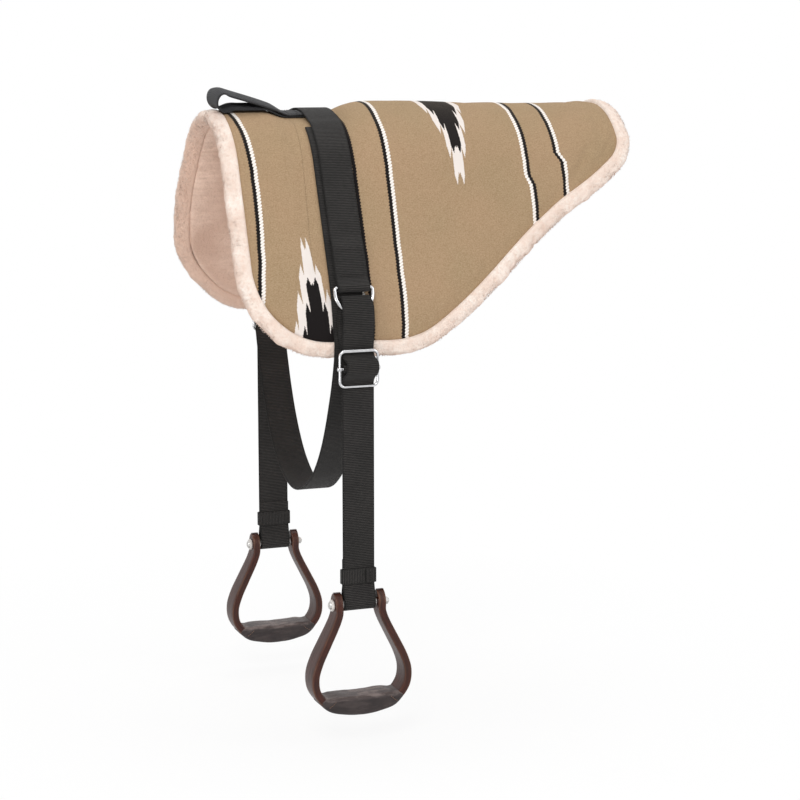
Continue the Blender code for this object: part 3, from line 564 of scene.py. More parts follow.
# Stepped figure of the blanket: columns with pointed ends, mirrored about the figure's middle.
figure = {
    "thread": 0.0016,
    # Each column's middle, half width, tip and length of its point.
    "White": ((0.0, 0.0052, 0.016, 0.014), (0.0058, 0.0036, 0.0, 0.016), (0.0, 0.0085, 0.030, 0.022),
              (0.0135, 0.0048, 0.042, 0.020), (0.0230, 0.0060, 0.082, 0.026), (0.0325, 0.0055, 0.126, 0.026)),
    "Black": ((0.0058, 0.0040, 0.0, 0.012), (0.0, 0.0058, 0.009, 0.010),
              (0.0140, 0.0044, 0.038, 0.018), (0.0215, 0.0052, 0.072, 0.022)),
}


def makeFigureGroup():
    inputs = {"Across": 0.0, "Inward": 0.0, "Core": 0.055}
    tree, n, gin, gout = newGroup("steppedFigure", inputs, ("White", "Black"))
    across = n.away(n.math("SNAP", gin["Across"], figure["thread"] / 2))
    inward = n.math("SNAP", gin["Inward"], figure["thread"])
    for label, depth in (("White", inward), ("Black", n.minus(inward, gin["Core"]))):
        total = None
        for middle, half, tip, point in figure[label]:
            room = n.times(n.over(n.minus(depth, tip), point, clamp=True), half)
            inside = n.math("GREATER_THAN", n.minus(room, n.away(across, middle)), 0.00005)
            total = inside if total is None else n.math("MAXIMUM", total, inside)
        n.join(total, gout[label])
    return tree


# Twined cord with a scalloped edge and a slanting twist; Crease marks the low grooves of the twist, which
# take painted shade.
def makeCordGroup():
    inputs = {"Offset": 0.0, "Along": 0.0, "Half": 0.0027, "Pitch": 0.0049}
    tree, n, gin, gout = newGroup("twinedCord", inputs, ("Mask", "Height", "Crease"))
    turn = n.times(n.over(gin["Along"], gin["Pitch"]), 2 * math.pi)
    wave = n.math("SINE", n.minus(turn, n.times(gin["Offset"], 700.0)))
    twist = n.plus(n.times(wave, 0.5), 0.5)
    room = n.plus(gin["Half"], n.times(wave, 0.00075))
    away = n.away(gin["Offset"])
    n.join(n.spread(n.minus(room, away), -0.00010, 0.00010), gout["Mask"])
    roundness = n.minus(1.0, n.math("POWER", n.over(away, room, clamp=True), 2.0), clamp=True)
    n.join(n.times(n.plus(n.times(twist, 0.6), 0.4), roundness), gout["Height"])
    n.join(n.spread(twist, 0.04, 0.30, 1.0, 0.0), gout["Crease"])
    return tree


yarnTree = makeYarnGroup()
fibreTree = makeFibreGroup()
figureTree = makeFigureGroup()
cordTree = makeCordGroup()
print("shader groups built")

# Woven cover.
coverLook = {
    "ground": linear(168, 140, 110),
    "groundDark": linear(147, 119, 88),
    "groundGreen": linear(160, 137, 106),
    "black": linear(13, 8, 10),
    "white": linear(230, 221, 215),
    "whiteCord": linear(243, 237, 231),
    "glow": linear(220, 200, 170),
    "grainPale": linear(210, 184, 153),
    "grainDark": linear(120, 95, 68),
    "seamTone": linear(120, 98, 70),
    "rib": 0.0021,
    "column": 0.0012,
    "stripes": (  # middle of the black cord, white cord's side and distance, bend, jog start, jog size
        (-0.1325, 1.0, -0.0075, 9.0, 0.0),
        (0.0294, -2.2, 0.0, 9.0, 0.0),
        (0.0785, 1.0, 0.0, 9.0, 0.0),
        (0.3143, -1.0, 0.0, 0.164, 0.0062),
        (0.3645, 1.0, 0.0, 0.128, 0.0095),
    ),
    # Each cord: its colour, half width and the darker tone of its twist's grooves, which is painted shade.
    "cords": (("black", 0.00300, linear(6, 5, 6)), ("whiteCord", 0.00265, linear(200, 184, 172))),
    "cordDistance": 0.0054,
    "bendMiddle": 0.176,
    "bendReach": 0.135,
    "jogLength": 0.016,
    "figures": (  # middle, tip, start of the black core, size at the tip, size, lean, white's shift
        (0.197, 0.175, 0.050, 0.92, 0.88, 0.0, 0.0),
        (-0.0655, 0.243, 0.062, 0.60, 0.98, 0.062, -0.0016),
    ),
    "seam": (-0.046, -0.037, 0.30),  # x at the middle, lean and reach of the seam before the rigging
    "seamStitch": 0.0042,
}


def addSeam(n, x, s, side, colour):
    start, lean, reach = coverLook["seam"]
    dash = n.math("GREATER_THAN", n.math("FRACT", n.over(s, coverLook["seamStitch"])), 0.3)
    line = n.spread(n.away(x, n.plus(start, n.times(side, lean))), 0.0003, 0.0009, 1.0, 0.0)
    seam = n.times(n.times(line, dash), n.math("LESS_THAN", side, reach))
    return n.mix(n.times(seam, 0.4), colour, coverLook["seamTone"]), n.times(seam, 0.8)


def addFigures(n, x, s, side, colour, height):
    for middle, tip, core, tipSize, fullSize, lean, whiteShift in coverLook["figures"]:
        inward = n.minus(side, tip) if middle < 0 else n.minus(tip, side)
        axis = n.plus(n.times(inward, lean), middle)
        size = n.spread(inward, 0.0, 0.06, tipSize, fullSize)
        ragged = n.times(n.minus(n.noise(n.combine(x, s), 420.0), 0.5), 0.0022)
        offset = n.plus(n.over(n.minus(x, axis), size), ragged)
        for shade, shift in (("White", whiteShift), ("Black", 0.0)):
            masks = n.group(figureTree, Across=n.minus(offset, shift), Inward=inward, Core=core)
            colour = n.mix(masks[shade], colour, coverLook[shade.lower()])
            height = n.plus(height, n.times(masks[shade], 0.2))
    return colour, height


def addStripes(n, x, s, side, colour, height):
    for middle, whiteSide, bend, jogStart, jogSize in coverLook["stripes"]:
        fromBend = n.over(n.minus(side, coverLook["bendMiddle"]), coverLook["bendReach"])
        bent = n.times(n.math("POWER", fromBend, 2.0), bend)
        jog = n.times(n.spread(side, jogStart, jogStart + coverLook["jogLength"]), jogSize)
        wander = n.times(n.minus(n.noise(n.combine(0.0, s), 24.0), 0.5), 0.003)
        line = n.plus(n.plus(n.plus(middle, bent), jog), wander)
        distance = 0.0
        for shade, half, paintedCreaseShade in coverLook["cords"]:
            cord = n.group(cordTree, Offset=n.minus(n.minus(x, line), distance), Along=s, Half=half)
            # The twist's grooves get painted shade.
            tone = n.mix(n.times(cord["Crease"], 0.55), coverLook[shade], paintedCreaseShade)
            colour = n.mix(cord["Mask"], colour, tone)
            height = n.plus(height, n.times(n.times(cord["Height"], cord["Mask"]), 1.2))
            distance = whiteSide * coverLook["cordDistance"]
    return colour, height


def makeCoverMaterial():
    look = coverLook
    material, n, shader = newMaterial("wovenBlanket", 0.94, sheen=0.10, specular=0.25, glow=look["glow"])
    place = n.place()
    x, s, _ = n.split(n.flat())
    side = n.away(s)
    fibre = n.group(fibreTree, Vector=place, Blotch=9.0, Fuzz=1100.0)
    yarn = n.group(yarnTree, Vector=n.combine(x, s), Rib=look["rib"], Column=look["column"], Twill=1.0)
    streaks = n.noise(n.combine(n.times(x, 60.0), n.times(s, 900.0)), 1.0)
    grain = n.noise(place, 560.0, 3.0, 0.75)
    colour = n.tint(look["ground"], look["groundGreen"], fibre["Blotch"], 0.35, 0.65)
    colour = n.tint(colour, look["groundDark"], streaks, 0.3, 0.8, 0.0, 0.35)
    # Darker in the weave's grooves: painted shade.
    colour = n.mix(n.times(yarn["Groove"], 0.22), colour, look["groundDark"])
    colour, seamDepth = addSeam(n, x, s, side, colour)
    colour = n.tint(colour, look["grainPale"], grain, 0.44, 0.72, 0.0, 0.34)
    colour = n.tint(colour, look["grainDark"], grain, 0.28, 0.52, 0.34, 0.0)
    height = n.minus(n.times(yarn["Height"], 0.35), seamDepth)
    colour, height = addFigures(n, x, s, side, colour, height)
    colour, height = addStripes(n, x, s, side, colour, height)
    finish(n, shader, colour, n.plus(height, n.times(fibre["Fuzz"], 0.35)), 0.0006, 0.9)
    return material


# Fleece of the roll and of the lining.
fleeceLook = {
    "roll": {
        "pale": linear(254, 243, 233),
        "shade": linear(236, 210, 194),
        "paintedUnderShade": linear(217, 185, 166),  # painted shade of its lower side
        "blotch": 30.0,
        "fuzzSize": 900.0,
        "depth": 0.0022,
        "hollowShadeAndPits": 1.0,
        "combed": 0.0,
    },
    "lining": {
        "pale": linear(247, 220, 202),
        "shade": linear(206, 173, 154),
        "paintedUnderShade": None,
        "blotch": 13.0,
        "fuzzSize": 700.0,
        "depth": 0.003,
        "hollowShadeAndPits": 0.35,
        "combed": 0.6,
    },
    "combedScales": (34.0, 60.0, 190.0),
    "paintedUnderShadePlaces": (0.028, 0.050),
}


def makeFleeceMaterial(name, pale, shade, paintedUnderShade, blotch, fuzzSize, depth, hollowShadeAndPits, combed):
    material, n, shader = newMaterial(name, 1.0, sheen=0.3, specular=0.2, glow=linear(255, 246, 240))
    place = n.place()
    fibre = n.group(fibreTree, Vector=place, Blotch=blotch, Fuzz=fuzzSize)
    curl = n.noise(place, fuzzSize * 0.32, 4.0, 0.65)
    pits = n.noise(place, 150.0, 3.0, 0.6)
    colour = n.tint(pale, shade, fibre["Blotch"], 0.3, 0.72)
    # Darker in the hollows of the curl and of the pits: painted shade.
    colour = n.tint(colour, shade, curl, 0.32, 0.56, 0.5 * hollowShadeAndPits, 0.0)
    colour = n.tint(colour, shade, pits, 0.30, 0.50, 0.8 * hollowShadeAndPits, 0.0)
    height = n.plus(n.plus(curl, n.times(fibre["Fuzz"], 0.45)), n.times(pits, 1.6 * hollowShadeAndPits))
    if combed:
        strand = n.noise(n.stretch(place, fleeceLook["combedScales"]), 1.0, 4.0, 0.6)
        # Darker between the combed strands: painted shade.
        colour = n.tint(colour, shade, strand, 0.36, 0.62, combed, 0.0)
        height = n.plus(height, n.times(strand, combed))
    # Painted shade: darker on the roll's lower side, by the place round the roll.
    if paintedUnderShade:
        around = n.plus(n.split(n.flat())[1], n.times(n.minus(pits, 0.5), 0.007))
        colour = n.tint(colour, paintedUnderShade, around, *fleeceLook["paintedUnderShadePlaces"], 1.0, 0.0)
    finish(n, shader, colour, height, depth, 0.9)
    return material


webbingLook = {
    "black": (linear(60, 57, 55), linear(2, 2, 2)),  # pale yarn and a dark tone, used for random streaks, the selvage and painted shade in the grooves
    "grey": (linear(84, 84, 86), linear(20, 20, 21)),
    "rib": 0.0026,
    "column": 0.0019,
    "selvage": (0.0226, 0.0240),
    "depth": 0.0009,
}


def makeWebbingMaterial(name, pale, dark):
    look = webbingLook
    material, n, shader = newMaterial(name, 0.74, sheen=0.04, specular=0.22)
    u, v, _ = n.split(n.flat())
    ribs = {"Rib": look["rib"], "Column": look["column"], "Twill": 0.12, "Warp": 0.12}
    yarn = n.group(yarnTree, Vector=n.combine(u, v), **ribs)
    fibre = n.group(fibreTree, Vector=n.place(), Blotch=22.0, Fuzz=1500.0)
    strands = n.noise(n.combine(n.times(u, 160.0), n.times(v, 1100.0)), 1.0)
    selvage = n.spread(n.away(u), *look["selvage"])
    # Darker in the grooves between the ribs: painted shade.
    colour = n.tint(pale, dark, yarn["Groove"], 0.10, 0.52)
    colour = n.tint(colour, dark, strands, 0.35, 0.7, 0.0, 0.5)
    colour = n.tint(colour, dark, fibre["Blotch"], 0.35, 0.7, 0.0, 0.3)
    colour = n.mix(n.times(selvage, 0.5), colour, dark)
    height = n.plus(yarn["Height"], n.times(fibre["Fuzz"], 0.25))
    height = n.plus(height, n.times(strands, 0.5))
    finish(n, shader, colour, height, look["depth"], 1.0, n.spread(fibre["Fuzz"], 0.3, 0.7, 0.62, 0.86))
    return material


threadLook = {
    "dark": linear(42, 39, 39),
    "brown": linear(150, 118, 100),
    "lay": linear(20, 18, 18),
}


def makeThreadMaterial(name, colour):
    material, n, shader = newMaterial(name, 0.75, specular=0.2)
    lay = n.noise(n.place(), 2400.0)
    finish(n, shader, n.tint(colour, threadLook["lay"], lay, 0.3, 0.7, 0.0, 0.5), lay, 0.0002, 0.6)
    return material


metalLook = {
    "bright": (linear(212, 212, 214), 0.11),  # colour and roughness
    "bolt": (linear(205, 203, 200), 0.28),
    # Grey of smudges on the steel, made darker as painted dark reflection.
    "smudgeAndPaintedReflection": linear(128, 128, 130),
}


def makeMetalMaterial(name, colour, roughness):
    material, n, shader = newMaterial(name, roughness, metallic=1.0)
    place = n.place()
    smudgeAndPaintedReflection = n.noise(place, 160.0, 4.0, 0.6)
    # Smudges darken the steel's colour, partly as painted dark reflection, and dull it.
    colour = n.tint(colour, metalLook["smudgeAndPaintedReflection"], smudgeAndPaintedReflection, 0.35, 0.75, 0.0, 0.35)
    dull = n.spread(smudgeAndPaintedReflection, 0.3, 0.8, roughness * 0.8, roughness * 1.9)
    finish(n, shader, colour, n.noise(place, 700.0, 3.0), 0.00008, 0.5, dull)
    return material


woodLook = {
    "pale": linear(78, 36, 24),
    "dark": linear(28, 14, 11),
    "brown": linear(54, 34, 28),
    "pore": linear(30, 18, 17),
    "rubbed": linear(132, 92, 68),
    "grain": 330.0,
    "pores": 1300.0,
}


def makeWoodMaterial():
    look = woodLook
    material, n, shader = newMaterial("stainedWood", 0.5, coat=0.06, coatRoughness=0.32, specular=0.26)
    u, v, _ = n.split(n.flat())
    flat = n.combine(u, v)
    wave = n.times(n.noise(flat, 30.0), 0.006)
    grain = n.noise(n.combine(n.times(u, 0.10), n.plus(v, wave)), look["grain"], 5.0, 0.7)
    pores = n.noise(n.combine(n.times(u, 0.16), v), look["pores"], 2.0, 0.6)
    tone = n.noise(flat, 24.0)
    colour = n.tint(look["pale"], look["dark"], grain, 0.3, 0.7)
    colour = n.tint(colour, look["brown"], tone, 0.35, 0.7, 0.0, 0.5)
    colour = n.tint(colour, look["pore"], pores, 0.58, 0.72, 0.0, 0.5)
    corner = n.spread(n.add("ShaderNodeNewGeometry").outputs["Pointiness"], 0.515, 0.56)
    rubbed = n.times(corner, n.spread(tone, 0.35, 0.6, 0.25, 0.75))
    colour = n.mix(rubbed, colour, look["rubbed"])
    dull = n.spread(grain, 0.3, 0.7, 0.34, 0.5)
    finish(n, shader, colour, n.minus(grain, n.times(pores, 0.5)), 0.00025, 0.6, dull)
    return material


leatherLook = {
    "pale": linear(50, 40, 39),
    "dark": linear(32, 24, 24),
    # Lighter colour of the upward faces: painted top light, also standing for wear.
    "paintedTopLightAndWear": linear(104, 90, 87),
    # Lighter streaks on the crease ridges of the upward faces: painted highlight.
    "paintedCreaseHighlight": linear(134, 121, 117),
    # Darker tone of the sunk lines between the pebbles: painted shade.
    "pit": linear(34, 27, 27),
    "pebbles": 520.0,
    "creases": (30.0, 75.0, 110.0),
}


def makeLeatherMaterial():
    look = leatherLook
    material, n, shader = newMaterial("treadLeather", 0.55, coat=0.06, coatRoughness=0.4, specular=0.35)
    place = n.place()
    inputs = (("Vector", place), ("Scale", look["pebbles"]))
    fromEdge = n.make("ShaderNodeTexVoronoi", inputs, "Distance", feature="DISTANCE_TO_EDGE")
    pebble = n.spread(fromEdge, 0.0, 0.09)
    fibre = n.group(fibreTree, Vector=place, Blotch=38.0, Fuzz=700.0)
    crease = n.noise(n.stretch(place, look["creases"]), 1.0, 4.0, 0.6)
    # Upward faces are lighter: painted top light, also standing for wear.
    paintedTopLightAndWear = n.spread(n.split(n.add("ShaderNodeNewGeometry").outputs["Normal"])[2], 0.15, 0.75)
    colour = n.tint(look["pale"], look["dark"], fibre["Blotch"], 0.3, 0.7)
    colour = n.mix(n.times(paintedTopLightAndWear, 0.4), colour, look["paintedTopLightAndWear"])
    # Lighter crease streaks on the upward faces: painted highlight.
    streaks = n.times(n.spread(crease, 0.47, 0.62), n.spread(paintedTopLightAndWear, 0.0, 1.0, 0.10, 0.90))
    colour = n.mix(streaks, colour, look["paintedCreaseHighlight"])
    # Darker along the sunk lines between the pebbles: painted shade.
    colour = n.tint(colour, look["pit"], pebble, 0.0, 1.0, 0.35, 0.0)
    height = n.plus(n.times(pebble, 0.5), n.times(crease, 1.4))
    finish(n, shader, colour, height, 0.0005, 0.7, n.spread(crease, 0.35, 0.7, 0.42, 0.6))
    return material


nylonLook = {
    "pale": linear(226, 222, 218),
    "dark": linear(200, 194, 188),
}


def makeNylonMaterial():
    material, n, shader = newMaterial("paleCup", 0.38)
    mottle = n.noise(n.place(), 260.0, 3.0)
    colour = n.tint(nylonLook["pale"], nylonLook["dark"], mottle, 0.35, 0.7)
    finish(n, shader, colour, mottle, 0.0001, 0.5)
    return material


coverMaterial = makeCoverMaterial()
rollMaterial = makeFleeceMaterial("fleeceRoll", **fleeceLook["roll"])
liningMaterial = makeFleeceMaterial("fleeceLining", **fleeceLook["lining"])
webbingMaterial = makeWebbingMaterial("blackWebbing", *webbingLook["black"])
handleMaterial = makeWebbingMaterial("greyWebbing", *webbingLook["grey"])
darkThread = makeThreadMaterial("darkThread", threadLook["dark"])
brownThread = makeThreadMaterial("brownThread", threadLook["brown"])
chrome = makeMetalMaterial("brightSteel", *metalLook["bright"])
boltMetal = makeMetalMaterial("boltSteel", *metalLook["bolt"])
woodMaterial = makeWoodMaterial()
leatherMaterial = makeLeatherMaterial()
nylonMaterial = makeNylonMaterial()
print("materials built")

# Pad layers.
layers = {
    "coverGrid": (84, 96),
    "liningGrid": (60, 84),
    "tuck": 0.004,  # how far the layers reach into the roll
    "crowding": 0.0175,  # columns drawn together towards the pad's ends
    "sideShare": 0.85,
    "coverBase": 0.0073,
    "liningTop": 0.0070,
    "liningBase": 0.0006,
    "liningBulge": 0.0048,
    "liningBulgeWidth": 0.034,
    "liningTuck": 0.0024,
    "waves": ((11, 9, 3.1, 0.0011), (30, 24, 7.7, 0.0003)),  # scales along and across, seed, size
    "calmEdge": (0.004, 0.03),  # where the waves fade: from the edge and from the strap's middle
    "calmStrap": (0.03, 0.06),
    "heldEdge": (0.003, 0.012),  # where the swelling is held: at the edge, strap and handle
    "heldStrap": (0.030, 0.040),
    "heldStrapReach": 0.42,
    "heldHandle": (0.055, 0.075),
    "heldHandleMiddle": -0.10,
    "heldHandleReach": 0.05,
    "swellCap": 0.0022,
    "frames": 14,
}
clothSettings = {
    "vertex_group_mass": "held",
    "quality": 5,
    "mass": 0.25,
    "tension_stiffness": 12,
    "compression_stiffness": 12,
    "bending_stiffness": 1.2,
    "shrink_min": -0.012,
    "use_pressure": True,
    "uniform_pressure_force": 1.6,
}


def padGrid(columnCount, rowCount):
    share = np.linspace(0, 1, columnCount)
    share = share - layers["crowding"] * np.sin(4 * math.pi * share)
    columns = frontEnd - layers["tuck"] + (rearEnd - frontEnd + 2 * layers["tuck"]) * share
    x = np.repeat(columns[:, None], rowCount, axis=1)
    reach = np.array([edgeReach(column) + layers["tuck"] for column in columns])
    return x, np.linspace(-1, 1, rowCount)[None, :] * reach[:, None]


def edgeDistance(x, s):
    reach = np.array([edgeReach(column) for column in x[:, 0]])[:, None]
    return np.minimum(np.minimum(x - frontEnd, rearEnd - x), (reach - np.abs(s)) * layers["sideShare"])


# A closed layer between two heights over the grid.
def layerPiece(name, x, s, low, high, material):
    rows, cols = x.shape
    count = rows * cols
    uv = np.stack([x, s], axis=-1)
    faces, corners = gridFaces(rows, cols, uv)
    lowFaces, lowCorners = gridFaces(rows, cols, uv, flip=True)
    faces += [[a + count for a in face] for face in lowFaces]
    corners += lowCorners
    ring = [i * cols for i in range(rows)] + [(rows - 1) * cols + j for j in range(1, cols)]
    ring += [i * cols + cols - 1 for i in range(rows - 2, -1, -1)] + [j for j in range(cols - 2, 0, -1)]
    flat = uv.reshape(-1, 2)
    for a, b in zip(ring, ring[1:] + ring[:1]):
        faces.append([a, b, b + count, a + count])
        corners += [flat[a], flat[b], flat[b], flat[a]]
    points = np.concatenate([padPoint(x, s, height).reshape(-1, 3) for height in (high, low)])
    return tidyNormals(makePiece(name, points, faces, corners, material))


# The cover is swollen by a short cloth run, held at the roll, under the straps and below.
def swellCover(piece, x, s):
    count = x.size
    x = x.reshape(-1)
    away = edgeDistance(x.reshape(layers["coverGrid"]), s).reshape(-1)
    across = np.abs(s.reshape(-1))
    held = 1 - smoothStep(away, *layers["heldEdge"])
    underStrap = 1 - smoothStep(np.abs(x - pad["strapMiddle"]), *layers["heldStrap"])
    underStrap = underStrap * (across < layers["heldStrapReach"])
    underHandle = 1 - smoothStep(np.abs(x - layers["heldHandleMiddle"]), *layers["heldHandle"])
    underHandle = underHandle * (across < layers["heldHandleReach"])
    held = np.maximum(np.maximum(held, underStrap), underHandle)
    group = piece.vertex_groups.new(name="held")
    for i in range(count):
        if held[i] > 0.01:
            group.add([i], float(held[i]), "REPLACE")
    group.add(list(range(count, 2 * count)), 1.0, "REPLACE")
    rest = np.array([v.co for v in piece.data.vertices])
    cloth = piece.modifiers.new("swell", "CLOTH")
    for key, value in clothSettings.items():
        setattr(cloth.settings, key, value)
    cloth.settings.effector_weights.gravity = 0
    cloth.collision_settings.use_collision = False
    cloth.collision_settings.use_self_collision = False
    scene = bpy.context.scene
    for step in range(1, layers["frames"] + 1):
        scene.frame_set(step)
    evaluated = piece.evaluated_get(bpy.context.evaluated_depsgraph_get())
    shift = np.array([v.co for v in evaluated.data.vertices]) - rest
    scene.frame_set(1)
    piece.modifiers.remove(cloth)
    size = np.linalg.norm(shift, axis=1)
    cap = layers["swellCap"]
    shift *= (cap * np.tanh(size / cap) / np.maximum(size, 1e-9))[:, None]
    shift[count:] = 0
    shift[:count] *= (1 - held)[:, None]
    piece.data.vertices.foreach_set("co", (rest + shift).astype(np.float32).ravel())
    piece.data.update()
    print("cover swollen, most", round(float(size[:count].max()) * 1000, 2), "mm before the cap")


def undulation(x, s):
    values = np.zeros(x.size)
    for i, (a, b) in enumerate(zip(x.reshape(-1), s.reshape(-1))):
        for alongScale, acrossScale, seed, size in layers["waves"]:
            values[i] += noise.noise(Vector((a * alongScale, b * acrossScale, seed))) * size
    return values.reshape(x.shape)


def makeCover():
    x, s = padGrid(*layers["coverGrid"])
    away = edgeDistance(x, s)
    drawn = coverShape["edgeDraw"] * (1 - smoothStep(away, -0.004, coverShape["edgeWidth"]))
    calm = smoothStep(away, *layers["calmEdge"])
    calm = calm * smoothStep(np.abs(x - pad["strapMiddle"]), *layers["calmStrap"])
    high = coverRise(x, s) - drawn + undulation(x, s) * calm
    low = np.full_like(x, layers["coverBase"] - pad["stack"])
    piece = layerPiece("paddedCover", x, s, low, high, coverMaterial)
    swellCover(piece, x, s)
    addSubdivision(piece)
    return piece


def makeLining():
    x, s = padGrid(*layers["liningGrid"])
    away = edgeDistance(x, s)
    low = layers["liningBase"] - pad["stack"] + undulation(x + 3.0, s) * 0.6
    low = low - layers["liningBulge"] * (1 - smoothStep(away, 0.0, layers["liningBulgeWidth"]))
    low = low + layers["liningTuck"] * (1 - smoothStep(away, -0.004, 0.004))
    high = np.full_like(x, layers["liningTop"] - pad["stack"])
    piece = layerPiece("fleeceUnderside", x, s, low, high, liningMaterial)
    addSubdivision(piece, 2)
    return piece


cover = makeCover()
hang(cover, "pad", "cover", "top_cover", "felt_core")
lining = makeLining()
hang(lining, "pad", "fleece", "fleece_lining")
print("pad layers built")

# Fleece roll.
roll = {
    "stationGap": 0.0036,
    "sides": 26,
    "lumps": ((38, 0.0024), (120, 0.0022), (300, 0.0010)),  # scale and size
    "deepest": -0.0021,
    "fullness": 0.72,
    "arcPlaces": 60,
    "strapHalf": 0.036,
    "strapReach": 0.40,  # the roll is flattened under the straps from here down
    "bareReach": 0.37,  # and has no tufts from here down
    "tufts": 11000,
    "tuftSeed": 11,
    "tuftLength": 0.0034,
    "tuftWidth": 0.0007,
    "tuftRoot": -0.0008,
    "tuftTurns": (0.0, 2.094, 4.189),
}


# Even places round the layers' outline: x, s and the outward direction.
def outlineStations():
    half = [(frontEnd, s, -1.0, 0.0) for s in np.linspace(0, edgeReach(frontEnd), roll["arcPlaces"])]
    lowerTurn = math.pi / 2 - pad["slopeAngle"]
    for centreX, radius, start, stop in (
        (frontX, frontRadius, math.pi, math.pi / 2),
        (lowerX, lowerRadius, math.pi / 2, lowerTurn),
        (rearX, rearRadius, lowerTurn, 0.0),
    ):
        for angle in np.linspace(start, stop, roll["arcPlaces"]):
            x = min(max(centreX + radius * math.cos(angle), frontEnd), rearEnd)
            half.append((x, edgeReach(x), math.cos(angle), math.sin(angle)))
        if stop == lowerTurn:
            for x in np.linspace(half[-1][0], rearX + rearRadius * slopeSine, 80)[1:-1]:
                half.append((x, edgeReach(x), slopeSine, slopeCosine))
    half += [(rearEnd, s, 1.0, 0.0) for s in np.linspace(edgeReach(rearEnd), 0, 40)[1:]]
    half = np.array(half)
    around = runLengths(half[:, :2])
    keep = np.concatenate([[True], np.diff(around) > 1e-7])
    marks = np.linspace(0, around[-1], int(around[-1] / roll["stationGap"]))
    even = np.stack([np.interp(marks, around[keep], half[keep][:, k]) for k in range(4)], axis=1)
    even[:, 2:] = unitRows(even[:, 2:])
    return np.concatenate([even, even[::-1][1:-1] * np.array([1, -1, 1, -1])])


stations = outlineStations()


def rollPoint(station, angle, grow=0.0):
    away = (pad["rollWidth"] + grow) * np.cos(angle) ** roll["fullness"]
    height = (pad["rollHeight"] / 2 + grow) * np.sin(angle) - pad["stack"] / 2
    return padPoint(station[0] + station[2] * away, station[1] + station[3] * away, height)


def underStraps(station, reach):
    return abs(station[0] - pad["strapMiddle"]) < roll["strapHalf"] and abs(station[1]) > reach


def makeRoll():
    cols = roll["sides"]
    points = np.zeros((len(stations), cols, 3))
    for i, station in enumerate(stations):
        for j, angle in enumerate(np.linspace(-math.pi / 2, math.pi / 2, cols)):
            base = Vector(rollPoint(station, angle))
            lump = sum(noise.noise(base * scale) * size for scale, size in roll["lumps"])
            share = math.cos(angle) ** 0.5 if abs(angle) < 1.55 else 0.0
            lump = max(lump, roll["deepest"]) * (0.25 + 0.75 * share)
            if underStraps(station, roll["strapReach"]) and angle > 0:
                lump = min(lump, 0.0)
            points[i, j] = rollPoint(station, angle, lump)
    along = runLengths(stations[:, :2])
    along = np.append(along, along[-1] + roll["stationGap"])
    around = np.append(np.linspace(0, 0.07, cols), 0.095)
    piece = makeTube("fleeceEdgeRoll", points, along, around, rollMaterial, closed=True)
    addSubdivision(piece)
    return piece


# Short tufts that stand out of the roll's pile, each a closed bent spike.
def makeTufts():
    picker = np.random.default_rng(roll["tuftSeed"])
    count = roll["tufts"]
    rows = picker.integers(0, len(stations), count)
    angles = np.arcsin(picker.uniform(-0.94, 0.96, count))
    leans = picker.normal(0.0, 0.55, (count, 2))
    lengths = roll["tuftLength"] * picker.uniform(0.55, 1.25, count)
    points = []
    faces = []
    for station, angle, lean, length in zip(stations[rows], angles, leans, lengths):
        if underStraps(station, roll["bareReach"]):
            continue
        low = rollPoint(station, angle, roll["tuftRoot"])
        out = rollPoint(station, angle, 0.0012) - low
        out /= np.linalg.norm(out)
        ahead = np.cross(out, (0.3, 0.5, 0.8))
        ahead /= np.linalg.norm(ahead)
        aside = np.cross(out, ahead)
        drift = ahead * lean[0] + aside * lean[1]
        base = len(points)
        for reach, width in ((0.0, 0.5), (0.55, 0.42)):
            spot = low + (out * reach * (1 - 0.35 * reach) + drift * reach * reach) * length
            for turn in roll["tuftTurns"]:
                outwards = ahead * math.cos(turn) + aside * math.sin(turn)
                points.append(spot + outwards * roll["tuftWidth"] * width)
        points.append(low + (out * 0.65 + drift) * length)
        a, b, c, d, e, f, tip = range(base, base + 7)
        faces += [[c, b, a], [a, b, e, d], [b, c, f, e], [c, a, d, f], [d, e, tip], [e, f, tip], [f, d, tip]]
    # The tufts take the place 0.045 round the roll, so they get part of the roll's painted underside shade.
    corners = [(0.0, 0.045)] * sum(len(face) for face in faces)
    return tidyNormals(makePiece("rollTufts", points, faces, corners, rollMaterial))


edgeRoll = makeRoll()
hang(edgeRoll, "pad", "roll", "edge_roll")
hang(makeTufts(), "pad", "roll")
print("roll built")

# Straps and rings: where they lie.
keeper = {
    "wall": 0.0020,
    "slack": 0.0006,
    "corner": 0.0016,
    "edgeRound": 0.0006,
    "columnGap": 0.003,
    "endThickness": 0.0017,
    "endReach": (0.0105, 0.0262),
    "endBow": 0.0004,
    "lap": 0.0009,  # how far the middle of the lapped end lies before the band
    "stitchPlaces": (0.0135, 0.0170),
    "stitchRise": 0.0010,
    "stitchEdge": 0.003,
}
strap = {
    "gap": 0.0003,  # between pieces that touch
    "layer": 0.0031,  # from the middle of one layer of webbing to the next
    "lift": 0.0012,  # of the rigging at the crest
    "girthShift": 0.009,
    "girthEnd": 0.065,
    "ringReach": 0.3265,  # how far down the pad the ring's bar lies
    "ringToBend": 0.0789,  # from the bar down to where the stirrup strap turns straight down
    "ringRaise": 0.0008,
    "wire": 0.00275,
    "ringInner": 0.0270,
    "ringLeg": 0.008,
    "tail": 0.062,  # of the rigging, from the ring back under itself
    "foldFull": 0.60,  # how much deeper the folds are than half circles
    "riggingFull": 0.25,
    "foldGather": 0.10,  # share of its width that the strap loses at the fold
    "foldDroop": -0.0022,  # of the fold's edges
    "overBarShift": 0.0042,  # backwards, over the buckle's bar
    "frontShift": 0.0030,  # of the front and the back layer below the fold
    "backShift": -0.0038,
}
wrapRadius = strap["wire"] + strap["gap"] + halfThick
